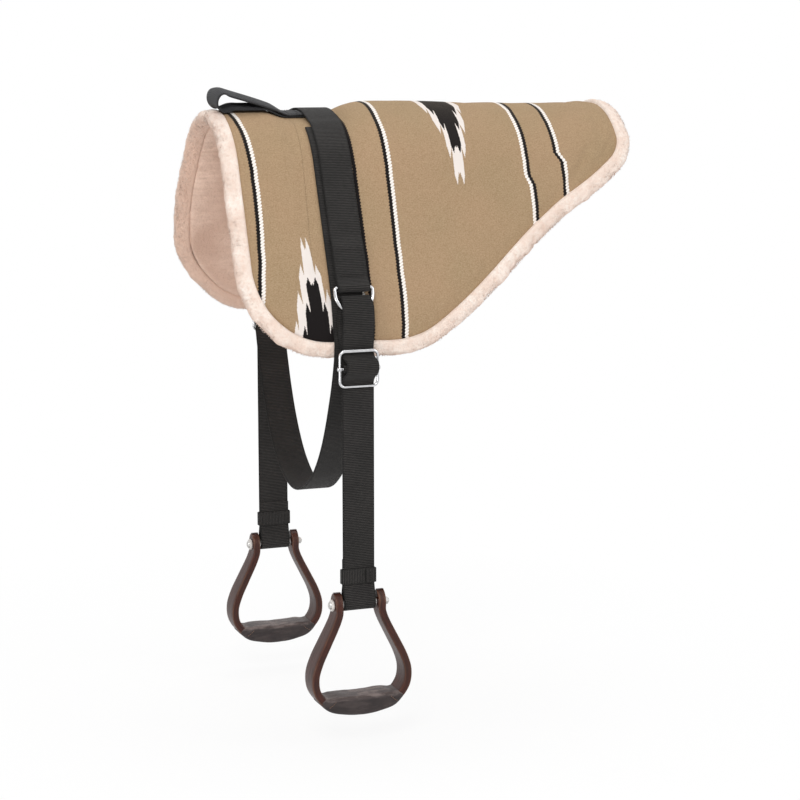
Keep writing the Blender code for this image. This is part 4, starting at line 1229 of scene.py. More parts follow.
ringHeight = 2 * webbing["thickness"] + 3 * strap["gap"] + strap["wire"] + strap["ringRaise"]
strapOut = -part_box("near_keeper")[0].y - keeper["wall"] - keeper["slack"] - webbing["thickness"]
strapOut = strapOut - strap["layer"] + halfThick


# The ring's plane leans so that the strap's bend comes to where it hangs.
def findRingTilt(side):
    room = strapOut - sidePoint(side, strap["ringReach"], ringHeight)[0]
    tilt = math.acos(room / math.hypot(strap["ringToBend"], wrapRadius))
    return tilt - math.atan2(wrapRadius, strap["ringToBend"])


ringTilts = {side: findRingTilt(side) for side in (-1.0, 1.0)}


# A place in the plane of a ring: down along the strap and out from the pad.
def ringPoint(side, down, out):
    tilt = ringTilts[side]
    ringOut, ringLevel = sidePoint(side, strap["ringReach"], ringHeight)
    return (
        ringOut + down * math.cos(tilt) + out * math.sin(tilt),
        ringLevel - down * math.sin(tilt) + out * math.cos(tilt),
    )


def sidePlace(side, middle=0.0):
    def place(p, q, across):
        return middle + across, side * p, q
    return place


# Rigging strap.
overGirth = strap["gap"] + strap["layer"] + halfThick
tailStart = strap["ringReach"] - strap["tail"]


def riggingHeight(reach):
    overHandle = strap["lift"] + halfThick
    height = overHandle + (overGirth - overHandle) * smoothStep(reach, 0.044, 0.058)
    return float(height + strap["layer"] * smoothStep(reach, tailStart - 0.020, tailStart - 0.001))


def makeRiggingHalf(side):
    foldReach = strap["ringReach"] - 2.0 * wrapRadius
    run = [sidePoint(side, reach, riggingHeight(reach)) for reach in np.arange(0.006, foldReach, 0.006)]
    for step in range(-4, 17):
        angle = math.pi * step / 16
        droop = 1 + strap["riggingFull"] * max(math.sin(angle), 0) ** 3
        run.append(ringPoint(side, wrapRadius * droop * math.sin(angle), wrapRadius * math.cos(angle)))
    return run + [sidePoint(side, reach, overGirth) for reach in np.linspace(foldReach, tailStart, 8)]


def makeRiggingRun():
    middle = sidePoint(1.0, 0.0, strap["lift"] + halfThick)
    return [(-a, b) for a, b in reversed(makeRiggingHalf(-1.0))] + [middle] + makeRiggingHalf(1.0)


def makeRigging():
    run = smoothRun(makeRiggingRun(), 0.005)
    return makeWebbing("riggingWebbing", run, sidePlace(1.0), webbingMaterial, ripple=webbing["ripple"])


# Girth loop.
girth = {
    "halfShares": (1.0, 0.985, 0.93, 0.86, 0.78, 0.68, 0.565, 0.42, 0.22, 0.0),
    "dropShares": (0.0, 0.075, 0.225, 0.365, 0.505, 0.645, 0.765, 0.875, 0.965, 1.0),
    "drop": 0.597,
    "overRoll": 0.0006,
    "seed": 4.0,
}
girthLow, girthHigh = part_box("girth_loop")
girthOuts = {-1.0: -girthLow.y - halfThick, 1.0: girthHigh.y - halfThick}


def makeGirthHalf(side):
    half = []
    for reach in np.arange(strap["girthEnd"], innerSide - 0.012, 0.006):
        half.append(sidePoint(side, reach, strap["gap"] + halfThick))
    rollTop = (pad["rollHeight"] - pad["stack"]) / 2
    half.append(sidePoint(side, innerSide, rollTop + girth["overRoll"] + halfThick))
    start = sidePoint(side, innerSide + pad["rollWidth"] / 2, rollTop)[1]
    for outShare, dropShare in zip(girth["halfShares"], girth["dropShares"]):
        half.append((girthOuts[side] * outShare, start - (girth["drop"] + start - pad["stack"]) * dropShare))
    return half


def makeGirth():
    run = [(-a, b) for a, b in makeGirthHalf(-1.0)] + list(reversed(makeGirthHalf(1.0)))[1:]
    return makeWebbing("girthWebbing", smoothRun(run, 0.006), sidePlace(1.0, -strap["girthShift"]),
                       webbingMaterial, ripple=webbing["ripple"], seed=girth["seed"])


# Grab handle.
handle = {
    "middle": 0.002,  # across the pad
    "nose": 0.163,  # how far forward the turn reaches
    "depth": 0.023,  # of the turn, lengthwise
    "height": 0.0365,  # of its upper face
    "lift": 0.0018,
    "slack": 0.0006,
    "turn": math.radians(195.0),
    "bend": (-0.075, 0.0122),
    "curl": 0.0034,
    "baseLift": 0.0068,
    "basePlaces": (0.020, 0.0, -0.03, -0.050, -0.060, -0.070, -0.082, -0.100, -0.120, -0.135),
    "baseRise": (0.051, 0.082),
    "sewnPlaces": (-0.050, -0.03, 0.0, 0.020),
    "looseStart": (0.052, 0.078),
    "looseEnd": (0.140, 0.158),
}


def makeHandleRun():
    run = []
    for along in handle["basePlaces"]:
        lift = handle["baseLift"] * float(smoothStep(-along, *handle["baseRise"]))
        run.append((along, float(coverRise(along, 0.0)) + handle["slack"] + halfThick + lift))
    bottom = coverShape["withersCrown"] + handle["lift"] + halfThick
    rise = (handle["height"] - halfThick - bottom) / 2
    noseX = handle["depth"] / 2 + halfThick - handle["nose"]
    for a, b in arcRun((0.0, 0.0), 1.0, -math.pi / 2, -math.pi / 2 - handle["turn"], 24):
        run.append((noseX + handle["depth"] / 2 * a, bottom + rise + rise * b))
    run.append(handle["bend"])
    landing = -coverShape["strapSink"] + handle["slack"] + webbing["thickness"] + strap["gap"] + halfThick
    return run + [(along, landing) for along in handle["sewnPlaces"]]


handleRun = smoothRun(makeHandleRun(), 0.004)


def handlePlace(p, q, across):
    return tuple(padPoint(p, handle["middle"] + across, q))


# Where it is loose the edges curl towards the hand's room.
def handleLie(i, steps):
    along = -handleRun[i, 0]
    loose = float(smoothStep(along, *handle["looseStart"]) * (1 - smoothStep(along, *handle["looseEnd"])))
    return 1.0, 0.0, loose * handle["curl"] * (-1.0 if steps[i] > steps[-1] * 0.5 else 1.0)


rigging = makeRigging()
hang(rigging, "pad", "webbing", "rigging_strap")
girthLoop = makeGirth()
hang(girthLoop, "pad", "webbing", "girth_loop")
grabHandle = makeWebbing("handleWebbing", handleRun, handlePlace, handleMaterial, lie=handleLie)
hang(grabHandle, "pad", "webbing", "grab_handle")
print("fixed webbing built")

# Thread on the fixed webbing.
sewing = {
    "half": 0.0205,
    "riggingBox": (0.004, 0.020),  # from the tail's end and from the ring
    "riggingRow": 0.0165,
    "handleBox": (-0.047, -0.031),
    "probe": 0.01,
}


def facingAt(low, high):
    return low, (high - low) / np.linalg.norm(high - low)


def riggingSurface(side):
    def surface(x, reach):
        height = riggingHeight(reach) + halfThick + thread["lift"]
        low, high = [sidePoint(side, reach, h) for h in (height, height + sewing["probe"])]
        return facingAt(np.array((x, side * low[0], low[1])), np.array((x, side * high[0], high[1])))
    return surface


def handleSurface(x, across):
    top = handleRun[::-1][:40]
    height = np.interp(-x, -top[:, 0], top[:, 1]) + halfThick + thread["lift"]
    low, high = [padPoint(x, handle["middle"] + across, h) for h in (height, height + sewing["probe"])]
    return facingAt(low, high)


def makeRiggingStitches():
    half = sewing["half"]
    start, stop = sewing["riggingBox"]
    row = strap["ringReach"] - sewing["riggingRow"]
    lines = boxLines(-half, half, tailStart + start, strap["ringReach"] - stop)
    lines.append(((-half, row), (half, row)))
    rows = [pair for side in (-1.0, 1.0) for pair in sewnRows(lines, riggingSurface(side))]
    return makeStitches("riggingStitches", rows, darkThread)


def makeHandleStitches():
    lines = boxLines(*sewing["handleBox"], -sewing["half"], sewing["half"])
    return makeStitches("handleStitches", sewnRows(lines, handleSurface), darkThread)


hang(makeRiggingStitches(), "pad", "webbing")
hang(makeHandleStitches(), "pad", "webbing")
print("stitches sewn")

# Stirrup straps.
hanging = {
    "buckleBelowBend": 0.0411,
    "buckleHalf": 0.029,  # half the frame's height
    "frameGap": 0.0005,
    "barRadius": 0.0020,
    "topRadius": 0.0027,
    "boltLevel": -0.7187,
    "sleeve": 0.0070,
    "keeperUp": 0.0430,
    "keeperHeight": 0.0225,
    "tailUp": 0.0700,
    "barLead": (1.6, 0.8),  # how far above the bar the strap meets its round, in front and behind
    "backShares": (0.62, 0.95),  # the strap's levels by the buckle, as shares of buckleHalf
    "frontShares": (0.78, 0.32, -0.20, -0.72, -1.1),
    "bendEase": 0.012,  # how far before and after a turn the next place on the strap lies
    "foldEase": 0.008,
    "frontEase": 0.010,
    "frontGap": 0.0008,
    "keeperEase": 0.010,
    "loopNeck": 0.86,
    "besideRing": (0.002, 0.024, 0.050, 0.085),  # how far from the fold the layers drift apart, and meet
    "gatherReach": (0.004, 0.030),
    "droopReach": (0.0005, 0.0050),
    "barReach": (0.005, 0.018),
}
strapFront = strapOut + strap["layer"]
foldDown = strap["ringLeg"] + math.sqrt(strap["ringInner"] ** 2 - halfWidth ** 2) + strap["wire"]
frameOut = strapFront + halfThick + hanging["frameGap"] + hanging["topRadius"]
barWrap = hanging["barRadius"] + strap["gap"] + halfThick
overBar = frameOut + barWrap + strap["layer"]
loopMiddle = (strapOut + strapFront) / 2
loopRadius = hanging["sleeve"] + strap["gap"] + halfThick


def bendLevel(side):
    return ringPoint(side, strap["ringToBend"], -wrapRadius)[1]


def buckleLevel(side):
    return bendLevel(side) - hanging["buckleBelowBend"]


# From the buckle's bar up the back, over the ring, down the front, over the bar and round the bolt.
def makeStirrupStrapRun(side):
    bendDown = strap["ringToBend"]
    layer = strap["layer"]
    level = buckleLevel(side)
    half = hanging["buckleHalf"]
    bolt = hanging["boltLevel"]
    keeperLow = bolt + hanging["keeperUp"] - hanging["keeperHeight"] / 2
    bowBottom = strap["ringLeg"] + strap["ringInner"] + 2 * strap["wire"]
    leadFront, leadBack = hanging["barLead"]
    neck = (loopRadius * hanging["loopNeck"], bolt + loopRadius)
    run = [(frameOut + barWrap, level + barWrap * leadFront)]
    run += arcRun((frameOut, level), barWrap, 0.0, -math.pi, 14)
    run.append((frameOut - barWrap, level + barWrap * leadBack))
    run += [(strapOut, level + half * share) for share in hanging["backShares"]]
    for down in (bendDown, bendDown - hanging["bendEase"], foldDown + hanging["foldEase"]):
        run.append(ringPoint(side, down, -wrapRadius))
    for step in range(17):
        angle = math.pi * step / 16
        rise = 1 + strap["foldFull"] * math.sin(angle) ** 3
        down = foldDown - wrapRadius * rise * math.sin(angle)
        run.append(ringPoint(side, down, -wrapRadius * math.cos(angle)))
    run.append(ringPoint(side, bowBottom + strap["gap"], wrapRadius))
    front = (bendDown - layer - hanging["frontEase"], layer - wrapRadius + hanging["frontGap"])
    run.append(ringPoint(side, *front))
    run.append(ringPoint(side, bendDown - layer, layer - wrapRadius))
    run.append((strapFront, bendLevel(side) - layer))
    outs = (strapFront, overBar, overBar, strapFront, strapFront)
    run += [(out, level + half * share) for out, share in zip(outs, hanging["frontShares"])]
    run += [(strapFront, keeperLow + hanging["keeperEase"]), (strapFront, keeperLow)]
    run.append((loopMiddle + neck[0], neck[1]))
    run += arcRun((loopMiddle, bolt), loopRadius, 0.0, -math.pi, 16)
    run.append((loopMiddle - neck[0], neck[1]))
    tail = (keeperLow, keeperLow + hanging["keeperEase"], bolt + hanging["tailUp"])
    return run + [(strapOut, up) for up in tail]


# How the strap lies: gathered and drooping at the fold, its layers apart below it, shifted over the bar.
def strapLie(side, run):
    def nearest(place):
        return np.argmin(np.linalg.norm(run - np.array(place), axis=1))

    fold = nearest(ringPoint(side, foldDown, 0.0))
    bar = nearest((overBar, buckleLevel(side)))
    leave, apart, meet, together = hanging["besideRing"]

    def lie(i, steps):
        pastFold = steps[i] - steps[fold]
        fromFold = abs(pastFold)
        fromBar = abs(steps[i] - steps[bar])
        gather = strap["foldGather"] * (1 - float(smoothStep(fromFold, *hanging["gatherReach"])))
        drift = float(smoothStep(fromFold, leave, apart) * (1 - smoothStep(fromFold, meet, together)))
        aside = strap["overBarShift"] * (1 - float(smoothStep(fromBar, *hanging["barReach"])))
        droop = strap["foldDroop"] * (1 - float(smoothStep(fromFold, *hanging["droopReach"])))
        layerShift = strap["frontShift"] if pastFold > 0 else strap["backShift"]
        return 1 - gather, layerShift * drift + aside, droop

    return lie


def makeStirrupStrap(name, side):
    run = smoothRun(makeStirrupStrapRun(side), 0.004)
    return makeWebbing(name, run, sidePlace(side), webbingMaterial, ripple=webbing["ripple"], seed=side * 9,
                       lie=strapLie(side, run))


# Bright wire.
wire = {
    "sides": 20,
    "ringCorner": 0.0036,
    "frameWidth": 0.064,
    "frameHeight": 0.058,
    "frameRadius": 0.0020,
    "frameCorner": 0.008,
    "eyeGap": 0.0001,
    "eyeWall": 0.0020,
    "eyeHeight": 0.0060,
    "eyeSides": 28,
}


# A bent rod through places in one plane, which faces along facing.
def makeWire(name, places, radii, facing, closed=True):
    places = np.asarray(places, float)
    rows = len(places)
    if closed:
        ahead = np.roll(places, -1, axis=0) - np.roll(places, 1, axis=0)
    else:
        ahead = np.gradient(places, axis=0)
    facing = np.asarray(facing, float)
    aside = unitRows(np.cross(unitRows(ahead), facing))
    turns = np.linspace(0, 2 * math.pi, wire["sides"], endpoint=False)[None, :, None]
    circle = np.cos(turns) * aside[:, None, :] + np.sin(turns) * facing
    points = places[:, None, :] + np.broadcast_to(radii, rows)[:, None, None] * circle
    along = np.linspace(0, 0.2, rows + 1 if closed else rows)
    return makeTube(name, points, along, np.linspace(0, 0.012, wire["sides"] + 1), chrome, closed=closed)


def makeRing(name, side):
    around = strap["ringInner"] + strap["wire"]
    corner = wire["ringCorner"]
    left = corner - around
    flat = arcRun((0.0, strap["ringLeg"]), around, 0.0, math.pi, 39)
    flat += arcRun((left, corner), corner, math.pi, 1.5 * math.pi, 7)
    flat += [(a, 0.0) for a in np.linspace(left, -left, 12)[1:-1]]
    flat += arcRun((-left, corner), corner, 1.5 * math.pi, 2 * math.pi, 7)
    places = []
    for along, down in flat:
        out, level = ringPoint(side, down, 0.0)
        places.append((along, side * out, level))
    tilt = ringTilts[side]
    return makeWire(name, places, strap["wire"], (0.0, side * math.sin(tilt), math.cos(tilt)))


# The frame is thicker along its top, where the strap pulls.
def makeBuckleFrame(name, side):
    half = wire["frameWidth"] / 2 - wire["frameRadius"]
    low = wire["frameRadius"] - wire["frameHeight"] / 2
    top = wire["frameHeight"] / 2 - hanging["topRadius"]
    corner = wire["frameCorner"]
    flat = np.array(roundedBox(-half, half, low, top, corner, 8, 9))
    share = np.clip((flat[:, 1] - top) / corner + 1, 0, 1)
    radii = wire["frameRadius"] + (hanging["topRadius"] - wire["frameRadius"]) * share
    out = np.full(len(flat), side * frameOut)
    places = np.stack([flat[:, 0], out, buckleLevel(side) + flat[:, 1]], axis=1)
    return makeWire(name, places, radii, (0.0, side, 0.0))


# Middle bar: a rod with a waisted eye at each end, round the frame's side wires.
def makeBuckleBar(name, side):
    level = buckleLevel(side)
    inner = wire["frameRadius"] + wire["eyeGap"]
    eyeCentre = wire["frameWidth"] / 2 - wire["frameRadius"]
    rodEnd = eyeCentre - inner - wire["eyeWall"] / 2
    places = [(a, side * frameOut, level) for a in np.linspace(-rodEnd, rodEnd, 24)]
    rod = makeWire(name, places, hanging["barRadius"], (0.0, side, 0.0), closed=False)
    profile = [(inner + wire["eyeWall"] * wall, wire["eyeHeight"] / 2 * rise) for wall, rise in (
        (0, -1), (0.5, -1), (0.9, -0.7), (1, 0), (0.9, 0.7), (0.5, 1), (0, 1))]
    form = bmesh.new()
    form.from_mesh(rod.data)
    for end in (-1.0, 1.0):
        rings = []
        for turn in np.linspace(0, 2 * math.pi, wire["eyeSides"], endpoint=False):
            x, y = math.cos(turn), math.sin(turn)
            rings.append([form.verts.new((end * eyeCentre + r * x, side * frameOut + r * y, level + z))
                          for r, z in profile])
        for ring, after in zip(rings, rings[1:] + rings[:1]):
            for j in range(len(profile)):
                k = (j + 1) % len(profile)
                face = form.faces.new((ring[j], ring[k], after[k], after[j]))
                face.smooth = True
    bmesh.ops.recalc_face_normals(form, faces=form.faces[:])
    form.to_mesh(rod.data)
    form.free()
    return rod


# Keeper: a band round both layers, its end lapped over the front and sewn.
keeperLevel = hanging["boltLevel"] + hanging["keeperUp"]
keeperFace = strapFront + halfThick + keeper["slack"] + keeper["wall"] + keeper["lap"]


def makeKeeper(name, side):
    grow = keeper["slack"] + keeper["wall"] / 2
    ring = roundedBox(-halfWidth - grow, halfWidth + grow, strapOut - halfThick - grow,
                      strapFront + halfThick + grow, keeper["corner"], 4, 1)
    ring = np.array(ring + ring[:1])
    run = []
    for a, b in zip(ring, ring[1:]):
        count = max(int(np.linalg.norm(b - a) / keeper["columnGap"]), 1)
        run += [a + (b - a) * k / count for k in range(count)]
    run = np.array(run)
    ahead = unitRows(np.roll(run, -1, axis=0) - np.roll(run, 1, axis=0))
    out = np.stack([ahead[:, 1], -ahead[:, 0]], axis=1)
    wall = keeper["wall"] / 2
    tall = hanging["keeperHeight"] / 2
    flat = np.linspace(-tall + keeper["edgeRound"], tall - keeper["edgeRound"], 7)
    section = [(wall, t) for t in flat] + [(0.0, tall)] + [(-wall, t) for t in flat[::-1]] + [(0.0, -tall)]
    points = np.zeros((len(run), len(section), 3))
    for i, spot in enumerate(run):
        for j, (away, rise) in enumerate(section):
            a, b = spot + out[i] * away
            points[i, j] = (a, side * b, keeperLevel + rise)
    along = runLengths(run)
    along = np.append(along, along[-1] + keeper["columnGap"])
    around = [rise for away, rise in section] + [section[0][1]]
    return makeTube(name, points, along, around, webbingMaterial, closed=True, aroundFirst=True)


def keeperEndFace(a):
    return keeperFace + keeper["endBow"] * math.cos(a * 90)


def makeKeeperEnd(name, side):
    def place(p, q, across):
        return p, side * q, keeperLevel + across

    run = np.array([(a, keeperEndFace(a)) for a in np.linspace(*keeper["endReach"], 8)])
    height = hanging["keeperHeight"] - 2 * keeper["edgeRound"]
    return makeWebbing(name, run, place, webbingMaterial, width=height, thickness=keeper["endThickness"])


def makeKeeperStitches(name, side):
    def surface(a, b):
        out = side * (keeperEndFace(a) + keeper["stitchRise"])
        return (a, out, keeperLevel + b), (0.0, side, 0.0)

    half = hanging["keeperHeight"] / 2 - keeper["stitchEdge"]
    lines = [((a, -half), (a, half)) for a in keeper["stitchPlaces"]]
    return makeStitches(name, sewnRows(lines, surface), darkThread)


# Stirrup bow, tread and sleeve.
bow = {
    "neck": 0.0345,
    "neckDrop": 0.012,
    "halfWidth": 0.0745,
    "depth": 0.160,
    "band": 0.0384,
    "thickness": 0.0115,
    "round": 0.0024,
    "earTurns": (86, 78, 70, 60, 48, 36, 24, 12),
    "halfShares": (0.537, 0.738, 0.913, 1.0, 0.960, 0.752, 0.403, 0.0),
    "dropShares": (0.175, 0.363, 0.531, 0.675, 0.819, 0.938, 0.985, 1.0),
    "boltHole": 0.0043,
    "earTaper": 0.0042,
    "earTaperDrop": 0.10,
    "blockThickness": 0.008,
    "blockGap": 0.0006,
}


# The bow's middle line from one ear's top round to the other's: across, level, half depth of the band.
def makeBowLine():
    ear = bow["band"] / 2
    half = []
    for degrees in bow["earTurns"]:
        angle = math.radians(degrees)
        half.append((-bow["neck"], ear * math.sin(angle), ear * math.cos(angle)))
    points = [(-bow["neck"], 0.0), (-bow["neck"], -bow["neckDrop"])]
    for across, drop in zip(bow["halfShares"], bow["dropShares"]):
        points.append((-bow["halfWidth"] * across, -bow["depth"] * drop))
    points += [(-a, b) for a, b in reversed(points[:-1])]
    curve = smoothRun(points, 0.005)
    return np.array(half + [(a, b, ear) for a, b in curve] + [(-a, b, c) for a, b, c in reversed(half)])


bowLine = makeBowLine()
bowAhead = unitRows(np.gradient(bowLine[:, :2], axis=0))
bowTurns = np.stack([bowAhead[:, 1], -bowAhead[:, 0]], axis=1)
lowPart = bowLine[:, 1] < -bow["depth"] / 2


def bowPoint(side, i, away, depth):
    across, level = bowLine[i, :2] + bowTurns[i] * away
    return across, side * (loopMiddle + depth), hanging["boltLevel"] + level


def bandOutline(inner, outer, half, corner, flats):
    return roundedBox(inner, outer, -half, half, min(corner, half * 0.6, (outer - inner) * 0.45), 4, flats)


def drillBow(piece, side):
    drill = bpy.data.meshes.new(piece.name + "Drill")
    form = bmesh.new()
    place = Matrix.Translation((0, side * loopMiddle, hanging["boltLevel"]))
    bmesh.ops.create_cone(form, cap_ends=True, segments=24, radius1=bow["boltHole"], radius2=bow["boltHole"],
                          depth=0.12, matrix=place @ Matrix.Rotation(math.pi / 2, 4, "Y"))
    form.to_mesh(drill)
    form.free()
    cutter = bpy.data.objects.new(drill.name, drill)
    bpy.context.scene.collection.objects.link(cutter)
    modifier = piece.modifiers.new("hole", "BOOLEAN")
    modifier.object = cutter
    modifier.solver = "EXACT"
    evaluated = piece.evaluated_get(bpy.context.evaluated_depsgraph_get())
    holed = bpy.data.meshes.new_from_object(evaluated)
    piece.modifiers.clear()
    piece.data = holed
    bpy.data.objects.remove(cutter)


def makeBow(name, side):
    half = bow["thickness"] / 2
    outline = np.array(bandOutline(-half, half, bow["band"] / 2, bow["round"], 4))
    points = np.zeros((len(bowLine), len(outline), 3))
    for i, (across, level, ear) in enumerate(bowLine):
        taper = bow["earTaper"] * (1 - float(smoothStep(-level, 0.0, bow["earTaperDrop"])))
        squeeze = (ear - taper) / (bow["band"] / 2)
        for j, (away, depth) in enumerate(outline):
            points[i, j] = bowPoint(side, i, away, depth * squeeze)
    around = runLengths(outline)
    around = np.append(around, around[-1] + 0.001)
    piece = makeTube(name, points, runLengths(bowLine[:, :2]), around, woodMaterial)
    piece.data.set_sharp_from_angle(angle=math.radians(60))
    drillBow(piece, side)
    return piece


# Leather sleeve, drawn round block and band: creased, dented on top and pinched at its ends.
sleeve = {
    "half": 0.063,
    "gap": 0.0003,
    "over": 0.0018,
    "round": 0.0062,
    "rise": 0.0036,
    "belly": 0.0026,
    "leather": 0.0022,
    "thinFrom": 0.72,
    "thinShare": 0.75,
    "blockFade": 0.85,
    "pinchFrom": 0.86,
    "pinch": 0.10,
    "endNarrow": 0.0012,
    "endShrink": 0.93,
    "creaseScale": (38, 90, 90),
    "creases": ((1.0, 0.0009), (2.3, 0.0005)),  # scale and size
    "creaseWiden": 12,
    "dent": 0.0012,
    "stitchFrom": 0.016,
    "stitchLean": 0.009,
}


def makeTreadCover(name, side):
    keep = np.nonzero(lowPart & (np.abs(bowLine[:, 0]) <= sleeve["half"] + 0.002))[0]
    halfDepth = bow["band"] / 2 + sleeve["over"]
    acrossScale, depthScale, awayScale = sleeve["creaseScale"]
    rings = []
    for i in keep:
        share = min(abs(bowLine[i, 0]) / sleeve["half"], 1.0)
        thinned = sleeve["thinShare"] * float(smoothStep(share, sleeve["thinFrom"], 1.0))
        thin = sleeve["leather"] * (1 - thinned)
        outer = bow["thickness"] / 2 + sleeve["gap"] + thin + sleeve["belly"] * (1 - share ** 2)
        block = (bow["blockThickness"] + sleeve["rise"]) * (1 - sleeve["blockFade"] * share ** 3)
        inner = -bow["thickness"] / 2 - bow["blockGap"] - block - thin
        half = halfDepth + thin - sleeve["endNarrow"] * share ** 4
        pinch = 1.0 - sleeve["pinch"] * smoothStep(share, sleeve["pinchFrom"], 1.0)
        ring = []
        for away, depth in bandOutline(inner, outer, half, sleeve["round"], 6):
            onTop = away < 0
            away = away * pinch if onTop else away
            spot = Vector((bowLine[i, 0] * acrossScale, depth * depthScale, away * awayScale + side * 7))
            crease = sum(noise.noise(spot * scale) * size for scale, size in sleeve["creases"])
            dent = sleeve["dent"] * (depth / halfDepth) ** 2
            reach = away - crease + dent if onTop else away + crease * 0.5
            ring.append(bowPoint(side, i, reach, depth * (1 + crease * sleeve["creaseWiden"])))
        rings.append(np.array(ring))
    shrink = np.array([1.0, sleeve["endShrink"], sleeve["endShrink"]])
    ends = [ring.mean(axis=0) + (ring - ring.mean(axis=0)) * shrink for ring in (rings[0], rings[-1])]
    points = np.array([ends[0]] + rings + [ends[1]])
    along = np.linspace(0, 0.14, points.shape[0])
    around = np.linspace(0, 0.13, points.shape[1] + 1)
    piece = makeTube(name, points, along, around, leatherMaterial)
    addSubdivision(piece)
    return piece


def makeTreadStitches(name, side):
    order = np.argsort(bowLine[lowPart, 0])
    line = bowLine[lowPart][order]
    turns = bowTurns[lowPart][order]
    face = bow["band"] / 2 + sleeve["over"] + sleeve["leather"]
    outer = bow["thickness"] / 2 + sleeve["gap"] + sleeve["leather"] - 0.002
    inner = -bow["thickness"] / 2 - bow["blockGap"] - bow["blockThickness"] * 0.5 - sleeve["leather"] + 0.003
    rows = []
    for end in (-1.0, 1.0):
        for depthSide in (-1.0, 1.0):
            run = []
            for share in np.linspace(0, 1, 12):
                x = end * (sleeve["half"] - sleeve["stitchFrom"] + sleeve["stitchLean"] * share)
                turn = np.array([np.interp(x, line[:, 0], turns[:, k]) for k in (0, 1)])
                spot = np.array([x, np.interp(x, line[:, 0], line[:, 1])])
                spot = spot + turn * (inner + (outer - inner) * share)
                run.append((spot[0], side * (loopMiddle + depthSide * face), hanging["boltLevel"] + spot[1]))
            rows.append((np.array(run), np.array([(0.0, side * depthSide, 0.0)] * len(run))))
    return makeStitches(name, rows, brownThread)


# Pieces of each side: maker, name, body, slot and the nodes they stand for.
sidePieces = (
    (makeStirrupStrap, "StirrupWebbing", "_leather", "webbing", "_stirrup_strap"),
    (makeRing, "BentRing", "_ring", "steel", "_d_ring"),
    (makeBuckleFrame, "BuckleWire", "_leather", "steel", "_buckle_frame"),
    (makeBuckleBar, "BuckleRod", "_leather", "steel", "_buckle_bar"),
    (makeKeeper, "KeeperBand", "_band", "webbing", "_keeper"),
    (makeKeeperEnd, "KeeperEnd", "_band", "webbing"),
    (makeKeeperStitches, "KeeperStitches", "_band", "webbing"),
    (makeBow, "BentBow", "_stirrup", "wood", "_stirrup_bow"),
    (makeTreadCover, "TreadSleeve", "_stirrup", "leather", "_tread_cover"),
    (makeTreadStitches, "TreadStitches", "_stirrup", "leather"),
)
keptNodes = {
    "_stirrup_bolt": boltMetal,
    "_bolt_cup": nylonMaterial,
    "_bolt_washer": boltMetal,
    "_bolt_nut": boltMetal,
    "_bolt_sleeve": boltMetal,
    "_tread_block": woodMaterial,
}
for side, label in ((-1.0, "near"), (1.0, "far")):
    for maker, name, body, slot, *nodes in sidePieces:
        hang(maker(label + name, side), label + body, slot, *[label + node for node in nodes])
    for node, material in keptNodes.items():
        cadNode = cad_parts[label + node]
        cadNode.data.materials.clear()
        cadNode.data.materials.append(material)
print("stirrups built")

# Floor, light and camera.
studio = {
    "azimuth": math.radians(-21.0),
    "elevation": math.radians(9.7304),
    "distance": 3.4481,
    "target": (0.1487, 0.0, -0.4486),
    "lens": 96.1322,
    "floorLevel": -0.94,
    "floorHalf": 30.0,
    "floorTones": ((0.96, 0.96, 0.96, 1), (0.94, 0.94, 0.94, 1)),
    "floorGlow": (0.35, 1.1, 0.88, 1.0),  # from this reach to that, from this share to that
    "worldLight": 0.55,
    "lamps": (  # name, place, aim, power, size
        ("key", (-1.6, -3.0, 2.4), (0.1, 0, -0.3), 70.0, 1.8),
        ("fill", (2.6, -2.4, 1.0), (0.1, 0, -0.3), 26.0, 2.2),
        ("inside", (-2.3, -1.5, -0.60), (0.0, 0.06, -0.06), 10.0, 0.6),
        ("top", (0.2, 0.6, 3.0), (0.1, 0, -0.2), 34.0, 2.4),
    ),
}


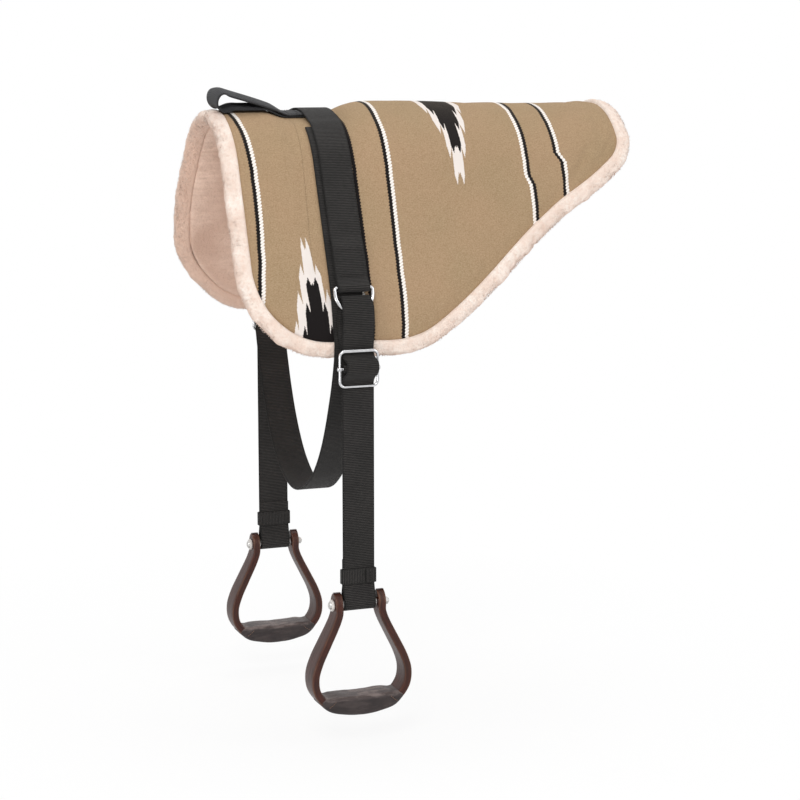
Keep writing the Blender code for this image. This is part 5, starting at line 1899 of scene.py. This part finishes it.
def makeFloor():
    steps = 24
    reach = np.linspace(-studio["floorHalf"], studio["floorHalf"], steps)
    points = [(a, b, studio["floorLevel"]) for a in reach for b in reach]
    uv = np.array([[(a, b) for b in reach] for a in reach])
    faces, corners = gridFaces(steps, steps, uv)
    material, n, shader = newMaterial("paleFloor", 0.9, specular=0.1)
    place = n.place()
    colour = n.tint(*studio["floorTones"], n.noise(place, 3.0, 3.0), 0.3, 0.7)
    n.join(colour, shader.inputs["Base Color"])
    floorX, floorY, _ = n.split(place)
    away = n.math("SQRT", n.plus(n.math("POWER", floorX, 2.0), n.math("POWER", floorY, 2.0)))
    glow = n.make("ShaderNodeEmission", (("Color", (1, 1, 1, 1)),))
    share = n.times(n.seen(), n.spread(away, *studio["floorGlow"]))
    blend = n.make("ShaderNodeMixShader", enumerate((share, shader.outputs[0], glow)))
    n.join(blend, material.node_tree.nodes["Material Output"].inputs["Surface"])
    makePiece("studioFloor", points, faces, corners, material)


def makeLamp(name, place, aim, power, size):
    data = bpy.data.lights.new(name, "AREA")
    data.energy = power
    data.shape = "DISK"
    data.size = size
    lamp = bpy.data.objects.new(name, data)
    lamp.location = place
    lamp.rotation_euler = (Vector(aim) - Vector(place)).to_track_quat("-Z", "Y").to_euler()
    bpy.context.scene.collection.objects.link(lamp)


def makeWorld():
    world = bpy.data.worlds.new("studio")
    bpy.context.scene.world = world
    world.use_nodes = True
    n = Nodes(world.node_tree)
    background = world.node_tree.nodes["Background"]
    background.inputs["Color"].default_value = (1, 1, 1, 1)
    n.join(n.spread(n.seen(), 0.0, 1.0, studio["worldLight"], 1.0), background.inputs["Strength"])


def makeCamera():
    a = studio["azimuth"]
    e = studio["elevation"]
    back = Vector((math.sin(a) * math.cos(e), -math.cos(a) * math.cos(e), math.sin(e)))
    right = Vector((math.cos(a), math.sin(a), 0.0))
    place = Vector(studio["target"]) + back * studio["distance"]
    data = bpy.data.cameras.new("photoCamera")
    data.lens = studio["lens"]
    data.sensor_width = 36.0
    data.clip_end = 100.0
    camera = bpy.data.objects.new("photoCamera", data)
    turn = Matrix((right, back.cross(right), back)).transposed().to_4x4()
    camera.matrix_world = Matrix.Translation(place) @ turn
    bpy.context.scene.collection.objects.link(camera)
    bpy.context.scene.camera = camera


makeFloor()
for lamp in studio["lamps"]:
    makeLamp(*lamp)
makeWorld()
makeCamera()
bpy.context.scene.view_settings.view_transform = "Standard"
print("studio built")
